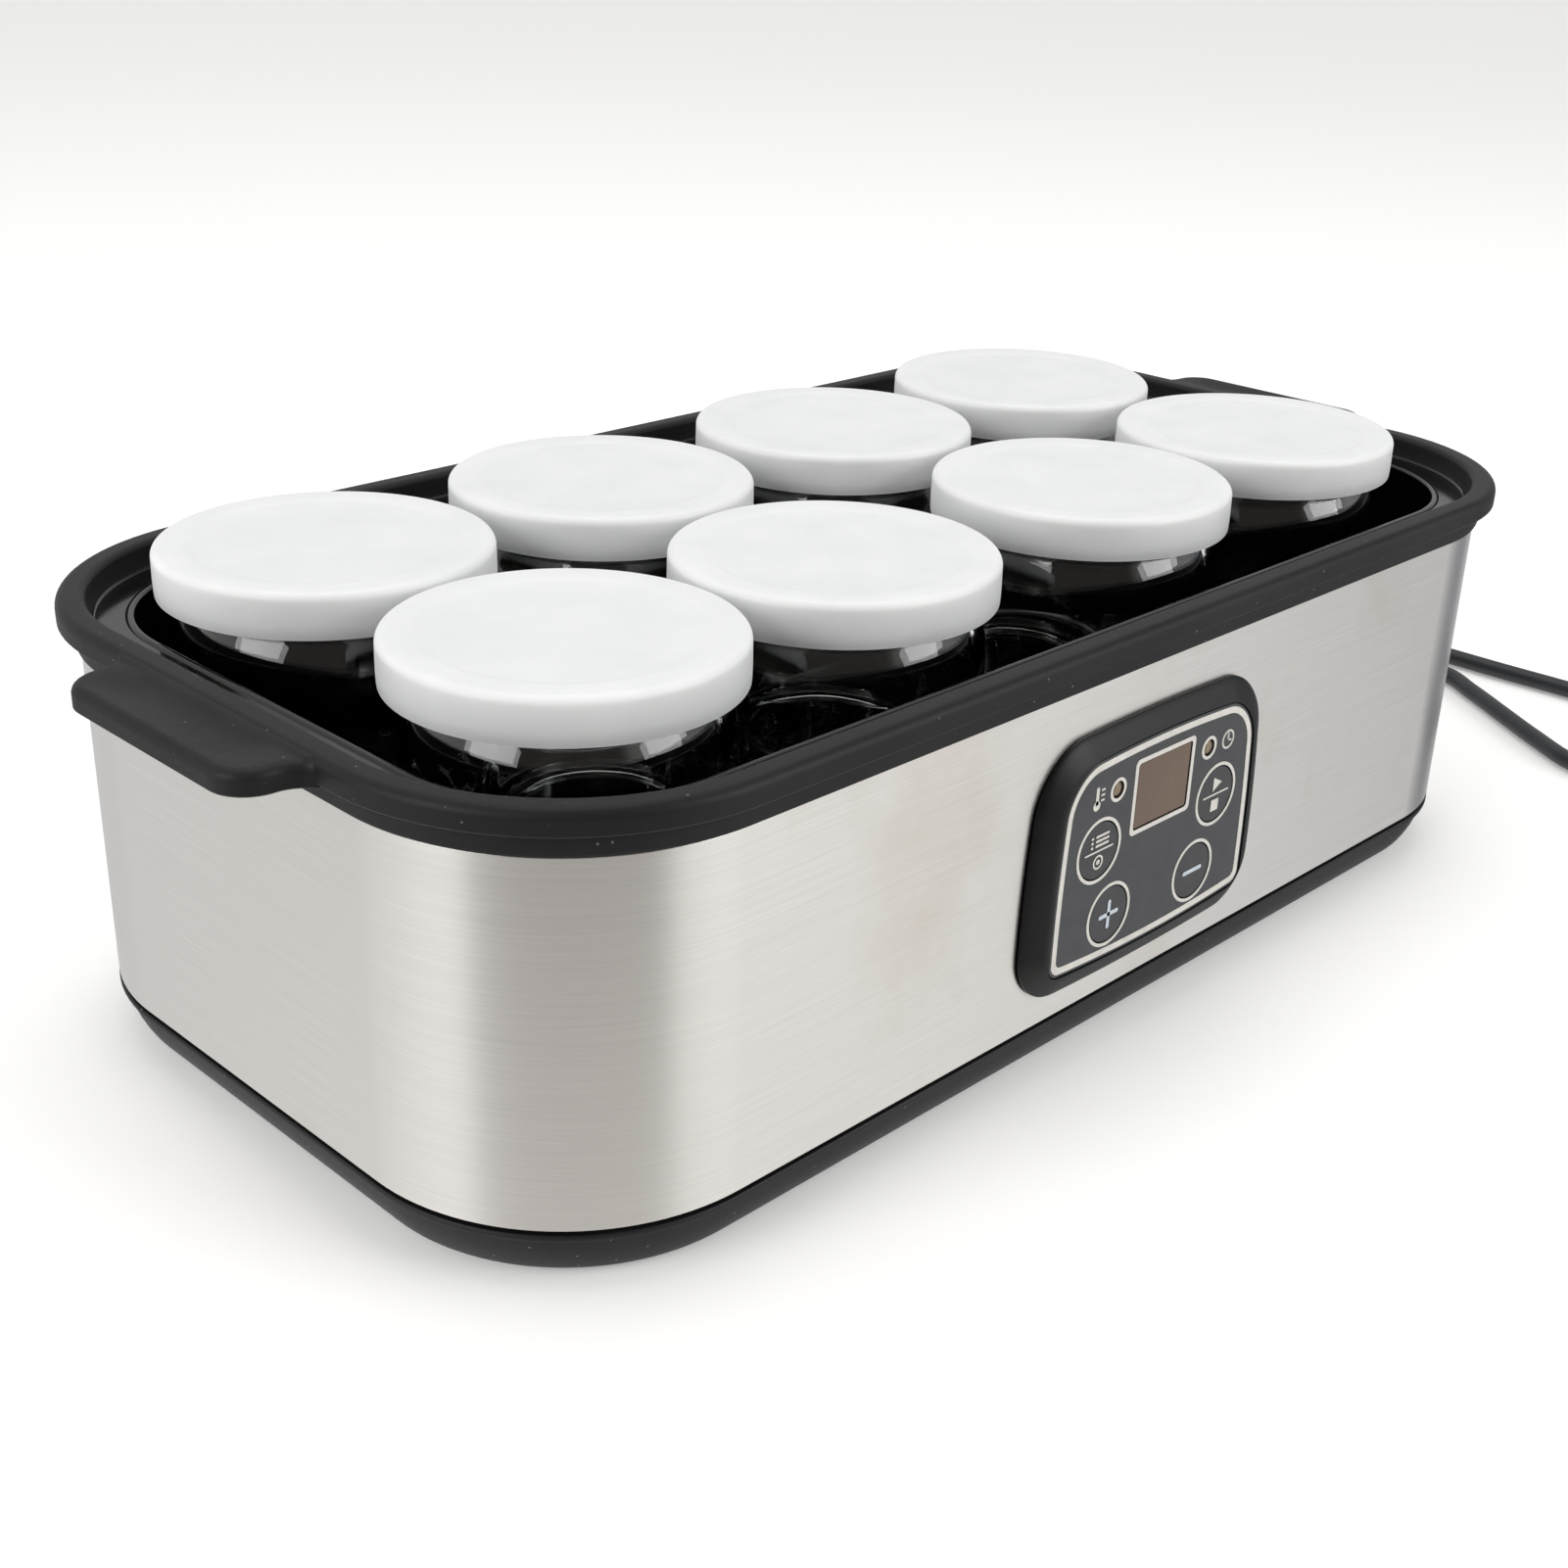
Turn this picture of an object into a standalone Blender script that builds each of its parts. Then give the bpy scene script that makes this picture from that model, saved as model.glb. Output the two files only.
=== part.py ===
"""Electric yogurt maker with eight lidded glass jars.

A brushed steel shell stands on a black base pan and carries a black tub. The jars stand on the tub's floor,
over an aluminium heater plate. A control panel with four keys sits on the front of the shell, and the mains cord
leaves the right-hand end through a strain relief.

Units are metres, +Z is up, +X runs to the right along the long side, and the panel faces -Y. The origin is on the
surface that the feet stand on, under the middle of the machine. Heights named _z are above the base pan's
underside, which the feet hold FOOT_DROP above the surface.
"""
import bmesh
import bpy
from math import cos, pi, radians, sin
from mathutils import Vector

MM = 0.001
CLEAR = 0.3 * MM

# Jars and lids: two rows of four, side by side on the tank's floor
JAR_RADIUS = 33.0 * MM
JAR_HEIGHT = 84.1 * MM
JAR_WALL = 2.8 * MM
JAR_NECK_RADIUS = JAR_RADIUS - 1.1 * MM
JAR_NECK = 8.6 * MM
LID_RADIUS = JAR_RADIUS + 2.2 * MM
LID_HEIGHT = 9.6 * MM
LID_TOP = 2.1 * MM
LID_SKIRT_WALL = 1.4 * MM
ROW_SPARE = 35.8 * MM
ROW_GAP = 2.4 * MM
ROW_SIDE = 7.1 * MM
FRONT_SHARES = (0.15, 0.07, 0.38, 0.07, 0.32)
BACK_SHARES = (0.04, 0.13, 0.20, 0.15, 0.48)
TURN_STEPS = 20

# Tank, which the jars fill, and the walls of the tub
TANK_INSET = 11.3 * MM
TANK_DRAFT = 1.0 * MM
TANK_FLOOR_Z = 22.0 * MM
TUB_WALL = 2.2 * MM

# Shell: a vertical-sided sleeve with round corners, round the tank
SHELL_HALF_X = 4 * LID_RADIUS + 0.5 * ROW_SPARE + TANK_INSET
SHELL_HALF_Y = 2 * LID_RADIUS + 0.5 * ROW_GAP + ROW_SIDE + TANK_INSET
SHELL_RADIUS = 48.0 * MM
SHELL_WALL = 0.8 * MM
SHELL_BOTTOM_Z = 12.0 * MM
SHELL_HEIGHT = 76.0 * MM
SHELL_TOP_Z = SHELL_BOTTOM_Z + SHELL_HEIGHT
CORNER_STEPS = 6

# Feet and base pan
FOOT_DROP = 1.5 * MM
FOOT_RADIUS = 7.0 * MM
FOOT_INSET = 34.0 * MM
BASE_TUCK = 4.6 * MM
BASE_FLOOR = 2.0 * MM
BASE_RECESS = 1.5 * MM
BASE_LIP = 8.0 * MM
BASE_WALL = 2.0 * MM

# Tub: flange and ledge
RIM_OVERHANG = 4.2 * MM
RIM_UNDER_Z = SHELL_TOP_Z + 5.6 * MM
RIM_TOP_Z = SHELL_TOP_Z + 10.7 * MM
LEDGE_Z = SHELL_TOP_Z + 5.0 * MM
LEDGE_INSET = 3.2 * MM

# Lug handles, one on each short end
LUG_REACH = 14.1 * MM
LUG_HALF_WIDTH = 30.8 * MM
LUG_SHIFT = 3.5 * MM
LUG_NOSE_RADIUS = 9.0 * MM
LUG_ROOT_RADIUS = 5.0 * MM
LUG_THICK = 4.2 * MM
LUG_DISH = 1.0 * MM
LUG_DISH_HALF = 5.6 * MM

# Control panel, in its own frame: x to the right, y up from the base pan's underside, z out of the shell
PANEL_PROUD = 4.0 * MM
PANEL_HALF = 42.0 * MM
PANEL_BOTTOM = SHELL_BOTTOM_Z + 6.0 * MM
PANEL_TOP = SHELL_TOP_Z - 9.8 * MM
PANEL_SHOULDER = 14.0 * MM
PANEL_FOOT = 12.0 * MM
PANEL_BOW = 1.2 * MM
PANEL_LEAN = 0.09
PANEL_WIDEST = PANEL_BOTTOM + 15.0 * MM
PANEL_EDGE = 5.5 * MM
OVERLAY_SIDE = 6.9 * MM
OVERLAY_BOTTOM = 5.7 * MM
OVERLAY_TOP = 5.0 * MM
OVERLAY_BOW = 1.6 * MM
OVERLAY_THICK = 0.5 * MM
KEY_RADIUS = 6.6 * MM
KEY_TRAVEL = 0.6 * MM
KEY_HIGH = PANEL_BOTTOM + 33.4 * MM
KEY_LOW = PANEL_BOTTOM + 16.2 * MM
KEY_PLACES = {
    "key_menu": (-21.5 * MM, KEY_HIGH),
    "key_start": (21.5 * MM, KEY_HIGH),
    "key_plus": (-15.6 * MM, KEY_LOW),
    "key_minus": (15.6 * MM, KEY_LOW),
}
LENS_RADIUS = 1.7 * MM
LENS_PLACES = {
    "temperature_lens": (-16.6 * MM, PANEL_TOP - 14.1 * MM),
    "time_lens": (16.6 * MM, PANEL_TOP - 14.1 * MM),
}
WINDOW_HALF_X = 9.6 * MM
WINDOW_HALF_Y = 7.7 * MM
WINDOW_MIDDLE = PANEL_TOP - 18.2 * MM
POST_RADIUS = 2.3 * MM
POST_X = 28.2 * MM
POST_LOW = PANEL_BOTTOM + 9.6 * MM
POST_HIGH = PANEL_TOP - 11.6 * MM
OPENING_HALF = POST_X + POST_RADIUS + 2 * CLEAR
BOARD_THICK = 1.6 * MM
BOARD_DEPTH = TANK_INSET - TUB_WALL - BOARD_THICK - 1.9 * MM
BOARD_MARGIN = 3.0 * MM
SWITCH_SIDE = 6.0 * MM
SWITCH_HEIGHT = 3.4 * MM

# Heater, sensors and screws under the tank floor
HEATER_MARGIN = 28.0 * MM
HEATER_THICK = 1.5 * MM
ELEMENT_RADIUS = 2.6 * MM
ELEMENT_INSET = 26.0 * MM
ELEMENT_BEND = 24.0 * MM
BOSS_RADIUS = 4.5 * MM
BOSS_X = SHELL_HALF_X - 42.0 * MM
BOSS_Y = SHELL_HALF_Y - 22.0 * MM
PAD_RADIUS = 6.0 * MM
PAD_Z = 7.0 * MM
SCREW_RADIUS = 1.5 * MM
SCREW_HEAD_RADIUS = 3.2 * MM
SCREW_HEAD = 2.0 * MM
SCREW_LENGTH = 11.0 * MM

# Mains cord: out of the right-hand end, on the surface round one open loop, and coiled behind the machine
CORD_RADIUS = 2.6 * MM
CORD_EXIT_Z = 27.0 * MM
CORD_LIE = CORD_RADIUS + 0.2 * MM
GLAND_REACH = 24.0 * MM
GLAND_ROOT = 4.6 * MM
GLAND_TIP = 3.5 * MM
COIL_RADIUS = 30.0 * MM
COIL_BUNDLE = 10.6 * MM
COIL_X = 128.0 * MM
COIL_Y = 148.0 * MM
PLUG_X = 73.5 * MM
PLUG_Y = COIL_Y - 33.0 * MM
PLUG_LENGTH = 36.0 * MM
PLUG_WIDTH = 32.0 * MM
PLUG_HEIGHT = 14.0 * MM
PIN_RADIUS = 2.0 * MM
PIN_LENGTH = 19.0 * MM
PIN_SPACING = 19.0 * MM

WELD = 1e-6


def colour(name, rgb, rough, metallic=0.0):
    """A plain material: colour, roughness and metallic value."""
    mat = bpy.data.materials.new(name)
    mat.use_nodes = True
    shader = mat.node_tree.nodes["Principled BSDF"]
    shader.inputs["Base Color"].default_value = (*rgb, 1.0)
    shader.inputs["Roughness"].default_value = rough
    shader.inputs["Metallic"].default_value = metallic
    mat.diffuse_color = (*rgb, 1.0)
    return mat


def collection(name):
    made = bpy.data.collections.new(name)
    bpy.context.scene.collection.children.link(made)
    return made


def place(obj, where, turn=(0.0, 0.0, 0.0), kind=None, mat=None):
    """Put an object in its place and in its collection, with its material."""
    obj.location = where
    obj.rotation_euler = turn
    for old in list(obj.users_collection):
        old.objects.unlink(obj)
    (kind or PARTS).objects.link(obj)
    if kind is CUTTERS:
        obj.hide_render = True
        obj.display_type = "WIRE"
    if mat:
        obj.data.materials.clear()
        obj.data.materials.append(mat)
    return obj


def solid(name, bm, where=(0, 0, 0), turn=(0, 0, 0), kind=None, mat=None, smooth=True):
    """An object from a finished bmesh, its doubles welded and its faces turned out."""
    bmesh.ops.remove_doubles(bm, verts=bm.verts[:], dist=WELD)
    bmesh.ops.recalc_face_normals(bm, faces=bm.faces[:])
    mesh = bpy.data.meshes.new(name)
    bm.to_mesh(mesh)
    bm.free()
    if smooth:
        mesh.shade_smooth()
        mesh.set_sharp_from_angle(angle=radians(35))
    return place(bpy.data.objects.new(name, mesh), where, turn, kind, mat)


def arc(cx, cy, radius, start, end, steps):
    """Points on an arc, both ends included; angles in degrees."""
    turns = [radians(start + (end - start) * i / steps) for i in range(steps + 1)]
    return [(cx + radius * cos(t), cy + radius * sin(t)) for t in turns]


def rounded(half_x, half_y, radius, steps=CORNER_STEPS, cy=0.0):
    """The outline of a rounded rectangle, anticlockwise."""
    inner_x, inner_y = half_x - radius, half_y - radius
    points = arc(inner_x, cy + inner_y, radius, 0, 90, steps)
    points += arc(-inner_x, cy + inner_y, radius, 90, 180, steps)
    points += arc(-inner_x, cy - inner_y, radius, 180, 270, steps)
    points += arc(inner_x, cy - inner_y, radius, 270, 360, steps)
    return points


def shell_outline(grow=0.0, steps=CORNER_STEPS):
    """The shell's plan outline, grown outwards by a distance."""
    return rounded(SHELL_HALF_X + grow, SHELL_HALF_Y + grow, SHELL_RADIUS + grow, steps)


def stacked(name, outline, start, steps, **how):
    """A solid grown from a flat outline: each step insets the top face and raises it.

    Each step is (inset, height): the whole inset from the outline and the height so far.
    """
    bm = bmesh.new()
    cap = bm.faces.new([bm.verts.new((x, y, start)) for x, y in outline])
    bm.faces.new([bm.verts.new((x, y, start)) for x, y in reversed(outline)])
    inset, height = 0.0, start
    for next_inset, next_height in steps:
        cap.normal_update()
        rise = (next_height - height) * (1 if cap.normal.z > 0 else -1)
        bmesh.ops.inset_individual(
            bm, faces=[cap], thickness=next_inset - inset, depth=rise, use_even_offset=True
        )
        inset, height = next_inset, next_height
    return solid(name, bm, **how)


def turned(name, profile, where=(0, 0, 0), turn=(0, 0, 0), steps=TURN_STEPS, kind=None, mat=None):
    """A turned solid: the profile (radius, height) runs down the outer side at +X, top to bottom."""
    bm = bmesh.new()
    points = [bm.verts.new((r, 0, z)) for r, z in profile]
    for first, second in zip(points, points[1:]):
        bm.edges.new((first, second))
    if profile[0][0] > 0:
        bm.edges.new((points[-1], points[0]))
    mesh = bpy.data.meshes.new(name)
    bm.to_mesh(mesh)
    bm.free()
    obj = place(bpy.data.objects.new(name, mesh), where, turn, kind, mat)
    screw = obj.modifiers.new("Turn", "SCREW")
    screw.steps = screw.render_steps = steps
    screw.use_merge_vertices = True
    screw.merge_threshold = WELD
    screw.use_smooth_shade = True
    return obj


def rod(name, radius, low, high, where=(0, 0, 0), turn=(0, 0, 0), steps=14, **how):
    """A cylinder along its own Z, from low to high."""
    bm = bmesh.new()
    bmesh.ops.create_cone(
        bm, cap_ends=True, cap_tris=False, segments=steps, radius1=radius, radius2=radius, depth=high - low
    )
    bmesh.ops.translate(bm, vec=(0, 0, (low + high) / 2), verts=bm.verts[:])
    return solid(name, bm, where=where, turn=turn, **how)


def block(name, size, middle, **how):
    """A box from its three sides and its middle."""
    bm = bmesh.new()
    bmesh.ops.create_cube(bm, size=1.0)
    bmesh.ops.scale(bm, vec=Vector(size), verts=bm.verts[:])
    bmesh.ops.translate(bm, vec=Vector(middle), verts=bm.verts[:])
    return solid(name, bm, smooth=False, **how)


def tube(name, points, radius, mat=None):
    """A round bar or cord along a line of points, with filled ends."""
    curve = bpy.data.curves.new(name, "CURVE")
    curve.dimensions = "3D"
    curve.bevel_depth = radius
    curve.bevel_resolution = 2
    curve.use_fill_caps = True
    line = curve.splines.new("POLY")
    line.points.add(len(points) - 1)
    for point, co in zip(line.points, points):
        point.co = (*co, 1.0)
    return place(bpy.data.objects.new(name, curve), (0, 0, 0), mat=mat)


def boolean(obj, other, operation="DIFFERENCE"):
    change = obj.modifiers.new(other.name, "BOOLEAN")
    change.operation = operation
    change.object = other


def above(z):
    """The height over the surface of a height over the base pan's underside."""
    return z + FOOT_DROP


def tank_inset(z):
    """The tank wall's inset from the shell's outline at a height: it leans in towards the floor."""
    share = (LEDGE_Z - z) / (LEDGE_Z - TANK_FLOOR_Z)
    return TANK_INSET + TANK_DRAFT * share


def lug_outline(side):
    """One lug's plan outline, with a round nose and fillets where it meets the rim."""
    root = SHELL_HALF_X + RIM_OVERHANG
    inside = SHELL_HALF_X - 1.0 * MM
    nose = root + LUG_REACH
    half = LUG_HALF_WIDTH
    fillet = LUG_ROOT_RADIUS
    sunk = 0.6 * MM
    round_x = nose - LUG_NOSE_RADIUS
    round_y = half - LUG_NOSE_RADIUS
    upper = arc(round_x, round_y, LUG_NOSE_RADIUS, 0, 90, 5)
    upper += arc(root + fillet - sunk, half + fillet, fillet, 270, 180, 3)
    upper += [(inside, half + fillet)]
    lower = [(x, -y) for x, y in reversed(upper)]
    points = [(x, y + LUG_SHIFT) for x, y in upper + lower]
    if side < 0:
        points = [(-x, -y) for x, y in points]
    return points


def make_lug(side):
    """A lug handle with rounded edges and a shallow dish across its top, to be joined to the rim."""
    low = above(RIM_UNDER_Z)
    high = low + LUG_THICK
    edge = 1.2 * MM
    steps = [
        (0.0, low + 0.4 * MM),
        (0.0, high - edge),
        (0.35 * edge, high - 0.35 * edge),
        (edge, high),
    ]
    lug = stacked(f"lug_{'left' if side < 0 else 'right'}", lug_outline(side), low, steps, kind=CUTTERS)
    radius = (LUG_DISH_HALF**2 + LUG_DISH**2) / (2 * LUG_DISH)
    middle = side * (SHELL_HALF_X + RIM_OVERHANG + LUG_REACH / 2)
    length = LUG_HALF_WIDTH + LUG_ROOT_RADIUS + 2 * MM
    dish = rod(
        f"{lug.name}_dish",
        radius,
        -length,
        length,
        where=(middle, side * LUG_SHIFT, high - LUG_DISH + radius),
        turn=(pi / 2, 0, 0),
        steps=64,
        kind=CUTTERS,
    )
    boolean(lug, dish)
    return lug


def corner_places(x, y):
    return [(-x, -y), (x, -y), (x, y), (-x, y)]


def make_tub(mat):
    """Flange, ledge and tank in one moulding, with a skirt inside the shell, two lugs and four screw bosses."""
    outer = TANK_INSET - TUB_WALL
    floor_outer = tank_inset(TANK_FLOOR_Z) - TUB_WALL
    under_floor = TANK_FLOOR_Z - TUB_WALL - CLEAR
    skirt_out = SHELL_WALL + 2 * CLEAR
    skirt_in = skirt_out + 2.0 * MM
    profile = [
        (floor_outer + 1.6 * MM, under_floor),
        (floor_outer + 0.4 * MM, under_floor + 0.9 * MM),
        (floor_outer, under_floor + 3.5 * MM),
        (outer, LEDGE_Z - TUB_WALL),
        (skirt_in, LEDGE_Z - TUB_WALL),
        (skirt_in, SHELL_TOP_Z - 4.0 * MM),
        (skirt_out, SHELL_TOP_Z - 4.0 * MM),
        (skirt_out, SHELL_TOP_Z + CLEAR),
        (-0.3 * MM, SHELL_TOP_Z + CLEAR),
        (-1.0 * MM, SHELL_TOP_Z + 1.2 * MM),
        (-1.0 * MM, RIM_UNDER_Z - 0.3 * MM),
        (-RIM_OVERHANG + 0.8 * MM, RIM_UNDER_Z - 0.3 * MM),
        (-RIM_OVERHANG, RIM_UNDER_Z + 0.3 * MM),
        (-RIM_OVERHANG, RIM_TOP_Z - 1.8 * MM),
        (-RIM_OVERHANG + 0.5 * MM, RIM_TOP_Z - 0.6 * MM),
        (-RIM_OVERHANG + 1.8 * MM, RIM_TOP_Z),
        (0.8 * MM, RIM_TOP_Z),
        (1.7 * MM, RIM_TOP_Z - 0.5 * MM),
        (2.2 * MM, RIM_TOP_Z - 1.5 * MM),
        (LEDGE_INSET - 0.2 * MM, LEDGE_Z + 0.5 * MM),
        (LEDGE_INSET + 0.3 * MM, LEDGE_Z),
        (TANK_INSET - 0.9 * MM, LEDGE_Z),
        (TANK_INSET, LEDGE_Z - 0.9 * MM),
        (tank_inset(TANK_FLOOR_Z + 4 * MM), TANK_FLOOR_Z + 4 * MM),
        (tank_inset(TANK_FLOOR_Z) + 1.0 * MM, TANK_FLOOR_Z + 1.0 * MM),
        (tank_inset(TANK_FLOOR_Z) + 3.5 * MM, TANK_FLOOR_Z),
    ]
    start_inset = floor_outer + 4.0 * MM
    steps = [(inset - start_inset, above(z)) for inset, z in profile]
    tub = stacked("tub", shell_outline(-start_inset), above(under_floor), steps, mat=mat)
    for side in (-1, 1):
        boolean(tub, make_lug(side), "UNION")
    for number, (x, y) in enumerate(corner_places(BOSS_X, BOSS_Y), 1):
        low = above(PAD_Z + CLEAR)
        top = above(TANK_FLOOR_Z - 0.5 * TUB_WALL)
        boss = rod(f"boss_{number}", BOSS_RADIUS, low, top, where=(x, y, 0), kind=CUTTERS)
        boolean(tub, boss, "UNION")
        bore = SCREW_RADIUS + CLEAR
        deep = above(BASE_RECESS + SCREW_HEAD + SCREW_LENGTH + 1 * MM)
        boolean(tub, rod(f"boss_bore_{number}", bore, low - MM, deep, where=(x, y, 0), kind=CUTTERS))
    return tub


def make_shell(mat):
    """The steel sleeve, open at top and bottom, with an opening behind the panel and a hole for the cord."""
    height = SHELL_HEIGHT
    sleeve = stacked(
        "steel_shell", shell_outline(), above(SHELL_BOTTOM_Z), [(0, above(SHELL_TOP_Z))], mat=mat
    )
    core = stacked(
        "shell_core",
        shell_outline(-SHELL_WALL),
        above(SHELL_BOTTOM_Z) - 0.1 * height,
        [(0, above(SHELL_TOP_Z) + 0.1 * height)],
        kind=CUTTERS,
    )
    boolean(sleeve, core)
    low, high = POST_LOW - POST_RADIUS, POST_HIGH + POST_RADIUS
    opening = block(
        "panel_opening",
        (2 * OPENING_HALF, 10 * MM, high - low + 4 * CLEAR),
        (0, -SHELL_HALF_Y, above((low + high) / 2)),
        kind=CUTTERS,
    )
    boolean(sleeve, opening)
    hole = rod(
        "cord_hole",
        GLAND_ROOT + CLEAR,
        -5 * MM,
        5 * MM,
        where=(SHELL_HALF_X, 0, above(CORD_EXIT_Z)),
        turn=(0, pi / 2, 0),
        kind=CUTTERS,
    )
    boolean(sleeve, hole)
    return sleeve


def make_base(mat):
    """The base pan: a tucked-in foot band, a bead under the shell, a lip inside it, and four screw pads."""
    start = 16.0 * MM
    lip_out = SHELL_WALL + 2 * CLEAR
    lip_in = lip_out + BASE_WALL
    lip_top = SHELL_BOTTOM_Z + BASE_LIP
    floor = BASE_RECESS + BASE_FLOOR
    profile = [
        (BASE_TUCK + 8.4 * MM, BASE_RECESS),
        (BASE_TUCK + 7.6 * MM, 0.3 * MM),
        (BASE_TUCK + 7.0 * MM, 0.0),
        (BASE_TUCK + 1.0 * MM, 0.0),
        (BASE_TUCK, 0.5 * MM),
        (0.64 * BASE_TUCK, 3.4 * MM),
        (0.36 * BASE_TUCK, 6.4 * MM),
        (0.2 * BASE_TUCK, SHELL_BOTTOM_Z - 2.6 * MM),
        (0.1 * MM, SHELL_BOTTOM_Z - 2.4 * MM),
        (-0.1 * MM, SHELL_BOTTOM_Z - 1.8 * MM),
        (0.2 * MM, SHELL_BOTTOM_Z - 1.2 * MM),
        (lip_out, SHELL_BOTTOM_Z - 1.0 * MM),
        (lip_out, lip_top),
        (lip_in, lip_top),
        (lip_in + 1.2 * MM, floor + 3.0 * MM),
        (lip_in + 4.0 * MM, floor),
    ]
    steps = [(inset - start, above(z)) for inset, z in profile]
    base = stacked("base_pan", shell_outline(-start), above(BASE_RECESS), steps, mat=mat)
    for number, (x, y) in enumerate(corner_places(BOSS_X, BOSS_Y), 1):
        pad = rod(
            f"pad_{number}", PAD_RADIUS, above(0.6 * BASE_RECESS), above(PAD_Z), where=(x, y, 0), kind=CUTTERS
        )
        boolean(base, pad, "UNION")
        shank = rod(
            f"pad_hole_{number}", SCREW_RADIUS + CLEAR, 0, above(PAD_Z + MM), where=(x, y, 0), kind=CUTTERS
        )
        boolean(base, shank)
        seat = above(BASE_RECESS + SCREW_HEAD + CLEAR)
        head = rod(f"pad_sink_{number}", SCREW_HEAD_RADIUS + CLEAR, 0, seat, where=(x, y, 0), kind=CUTTERS)
        boolean(base, head)
    return base


def make_feet(mat):
    """Four rubber feet under the base pan's recessed floor."""
    top = above(BASE_RECESS) - CLEAR
    places = corner_places(SHELL_HALF_X - FOOT_INSET, SHELL_HALF_Y - FOOT_INSET)
    for number, (x, y) in enumerate(places, 1):
        profile = [(0, top), (FOOT_RADIUS, top), (FOOT_RADIUS, 0.6 * MM), (FOOT_RADIUS - 0.7 * MM, 0), (0, 0)]
        turned(f"foot_{number}", profile, where=(x, y, 0), steps=16, mat=mat)


def screw_profile(shank, head, head_height, length, low):
    """A pan-head screw standing on its head, from its tip down."""
    neck = low + head_height
    tip = neck + length
    return [
        (0, tip),
        (0.4 * shank, tip),
        (shank, tip - 1.5 * shank),
        (shank, neck),
        (head, neck),
        (head, low + 0.4 * head_height),
        (0.7 * head, low),
        (0, low),
    ]


def make_base_screws(mat):
    low = above(BASE_RECESS)
    profile = screw_profile(SCREW_RADIUS, SCREW_HEAD_RADIUS, SCREW_HEAD, SCREW_LENGTH, low)
    for number, (x, y) in enumerate(corner_places(BOSS_X, BOSS_Y), 1):
        turned(f"base_screw_{number}", profile, where=(x, y, 0), steps=8, mat=mat)


def jar_places():
    """The middles of the jars: two rows of four, the spare room in each row shared out between them."""
    room = 2 * (SHELL_HALF_X - TANK_INSET)
    spare = room - 8 * LID_RADIUS
    row_y = LID_RADIUS + ROW_GAP / 2
    places = []
    for shares, y in ((FRONT_SHARES, -row_y), (BACK_SHARES, row_y)):
        x = -room / 2
        for share in shares[:4]:
            x += share / sum(shares) * spare + LID_RADIUS
            places.append((x, y))
            x += LID_RADIUS
    return places


def make_jars(glass, plastic):
    """Eight glass jars on the tank's floor, each with a pull-off lid."""
    base = TANK_FLOOR_Z + CLEAR
    top = base + JAR_HEIGHT
    neck = top - JAR_NECK
    inside = JAR_RADIUS - JAR_WALL
    mouth = JAR_NECK_RADIUS - 2.5 * MM
    jar = [
        (0, base + 4.5 * MM),
        (inside - 3.0 * MM, base + 4.8 * MM),
        (inside, base + 7.5 * MM),
        (inside, neck - 4.0 * MM),
        (mouth, neck - 1.0 * MM),
        (mouth, top),
        (JAR_NECK_RADIUS, top),
        (JAR_NECK_RADIUS, neck),
        (JAR_RADIUS, neck - 2.5 * MM),
        (JAR_RADIUS, base + 3.0 * MM),
        (JAR_RADIUS - 2.5 * MM, base),
        (0, base),
    ]
    under = top + CLEAR
    lid_top = under + LID_TOP
    skirt = lid_top - LID_HEIGHT
    lid = [
        (0, lid_top - 0.5 * MM),
        (0.78 * LID_RADIUS, lid_top - 0.5 * MM),
        (0.81 * LID_RADIUS, lid_top),
        (LID_RADIUS - 2.8 * MM, lid_top),
        (LID_RADIUS - 0.8 * MM, lid_top - 1.0 * MM),
        (LID_RADIUS, lid_top - 3.0 * MM),
        (LID_RADIUS, skirt),
        (LID_RADIUS - LID_SKIRT_WALL, skirt),
        (LID_RADIUS - LID_SKIRT_WALL, under),
        (0, under),
    ]
    for number, (x, y) in enumerate(jar_places(), 1):
        where = (x, y, above(0))
        turned(f"jar_{number}", jar, where=where, mat=glass)
        turned(f"lid_{number}", lid, where=where, mat=plastic)


def panel_outline(half, bottom, top, foot, shoulder, bow):
    """Round corners, sides that lean in towards the top, and a top and a bottom that bow outwards."""
    low, high = bottom + bow, top - bow
    right = [(0, low), (0.3 * half, low), (0.5 * half, low)]
    right += arc(half - foot, low + foot, foot, 270, 360, 4)
    right += [(half, low + foot + (high - low - foot - shoulder) * share) for share in (0.35, 0.7)]
    right += arc(half - shoulder, high - shoulder, shoulder, 0, 90, 6)
    right += [(0.5 * half, high), (0.3 * half, high), (0, high)]
    bent = []
    for x, y in right:
        above_widest = max(0.0, (y - PANEL_WIDEST) / (PANEL_TOP - PANEL_WIDEST))
        bulge = bow * (1 - (x / half) ** 2)
        bent.append((x * (1 - PANEL_LEAN * above_widest**2), y + (bulge if y > (low + high) / 2 else -bulge)))
    return bent + [(-x, y) for x, y in reversed(bent[1:-1])]


def on_panel(z=0.0):
    """A place in the panel's frame, z out of the shell's front."""
    return (0, -SHELL_HALF_Y - z, above(0))


PANEL_TURN = (pi / 2, 0, 0)


def panel_rod(name, radius, low, high, at, kind=None, mat=None, steps=18):
    """A cylinder along the panel's outward direction."""
    where = (at[0], -SHELL_HALF_Y, above(at[1]))
    return rod(name, radius, low, high, where=where, turn=PANEL_TURN, steps=steps, kind=kind, mat=mat)


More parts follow.
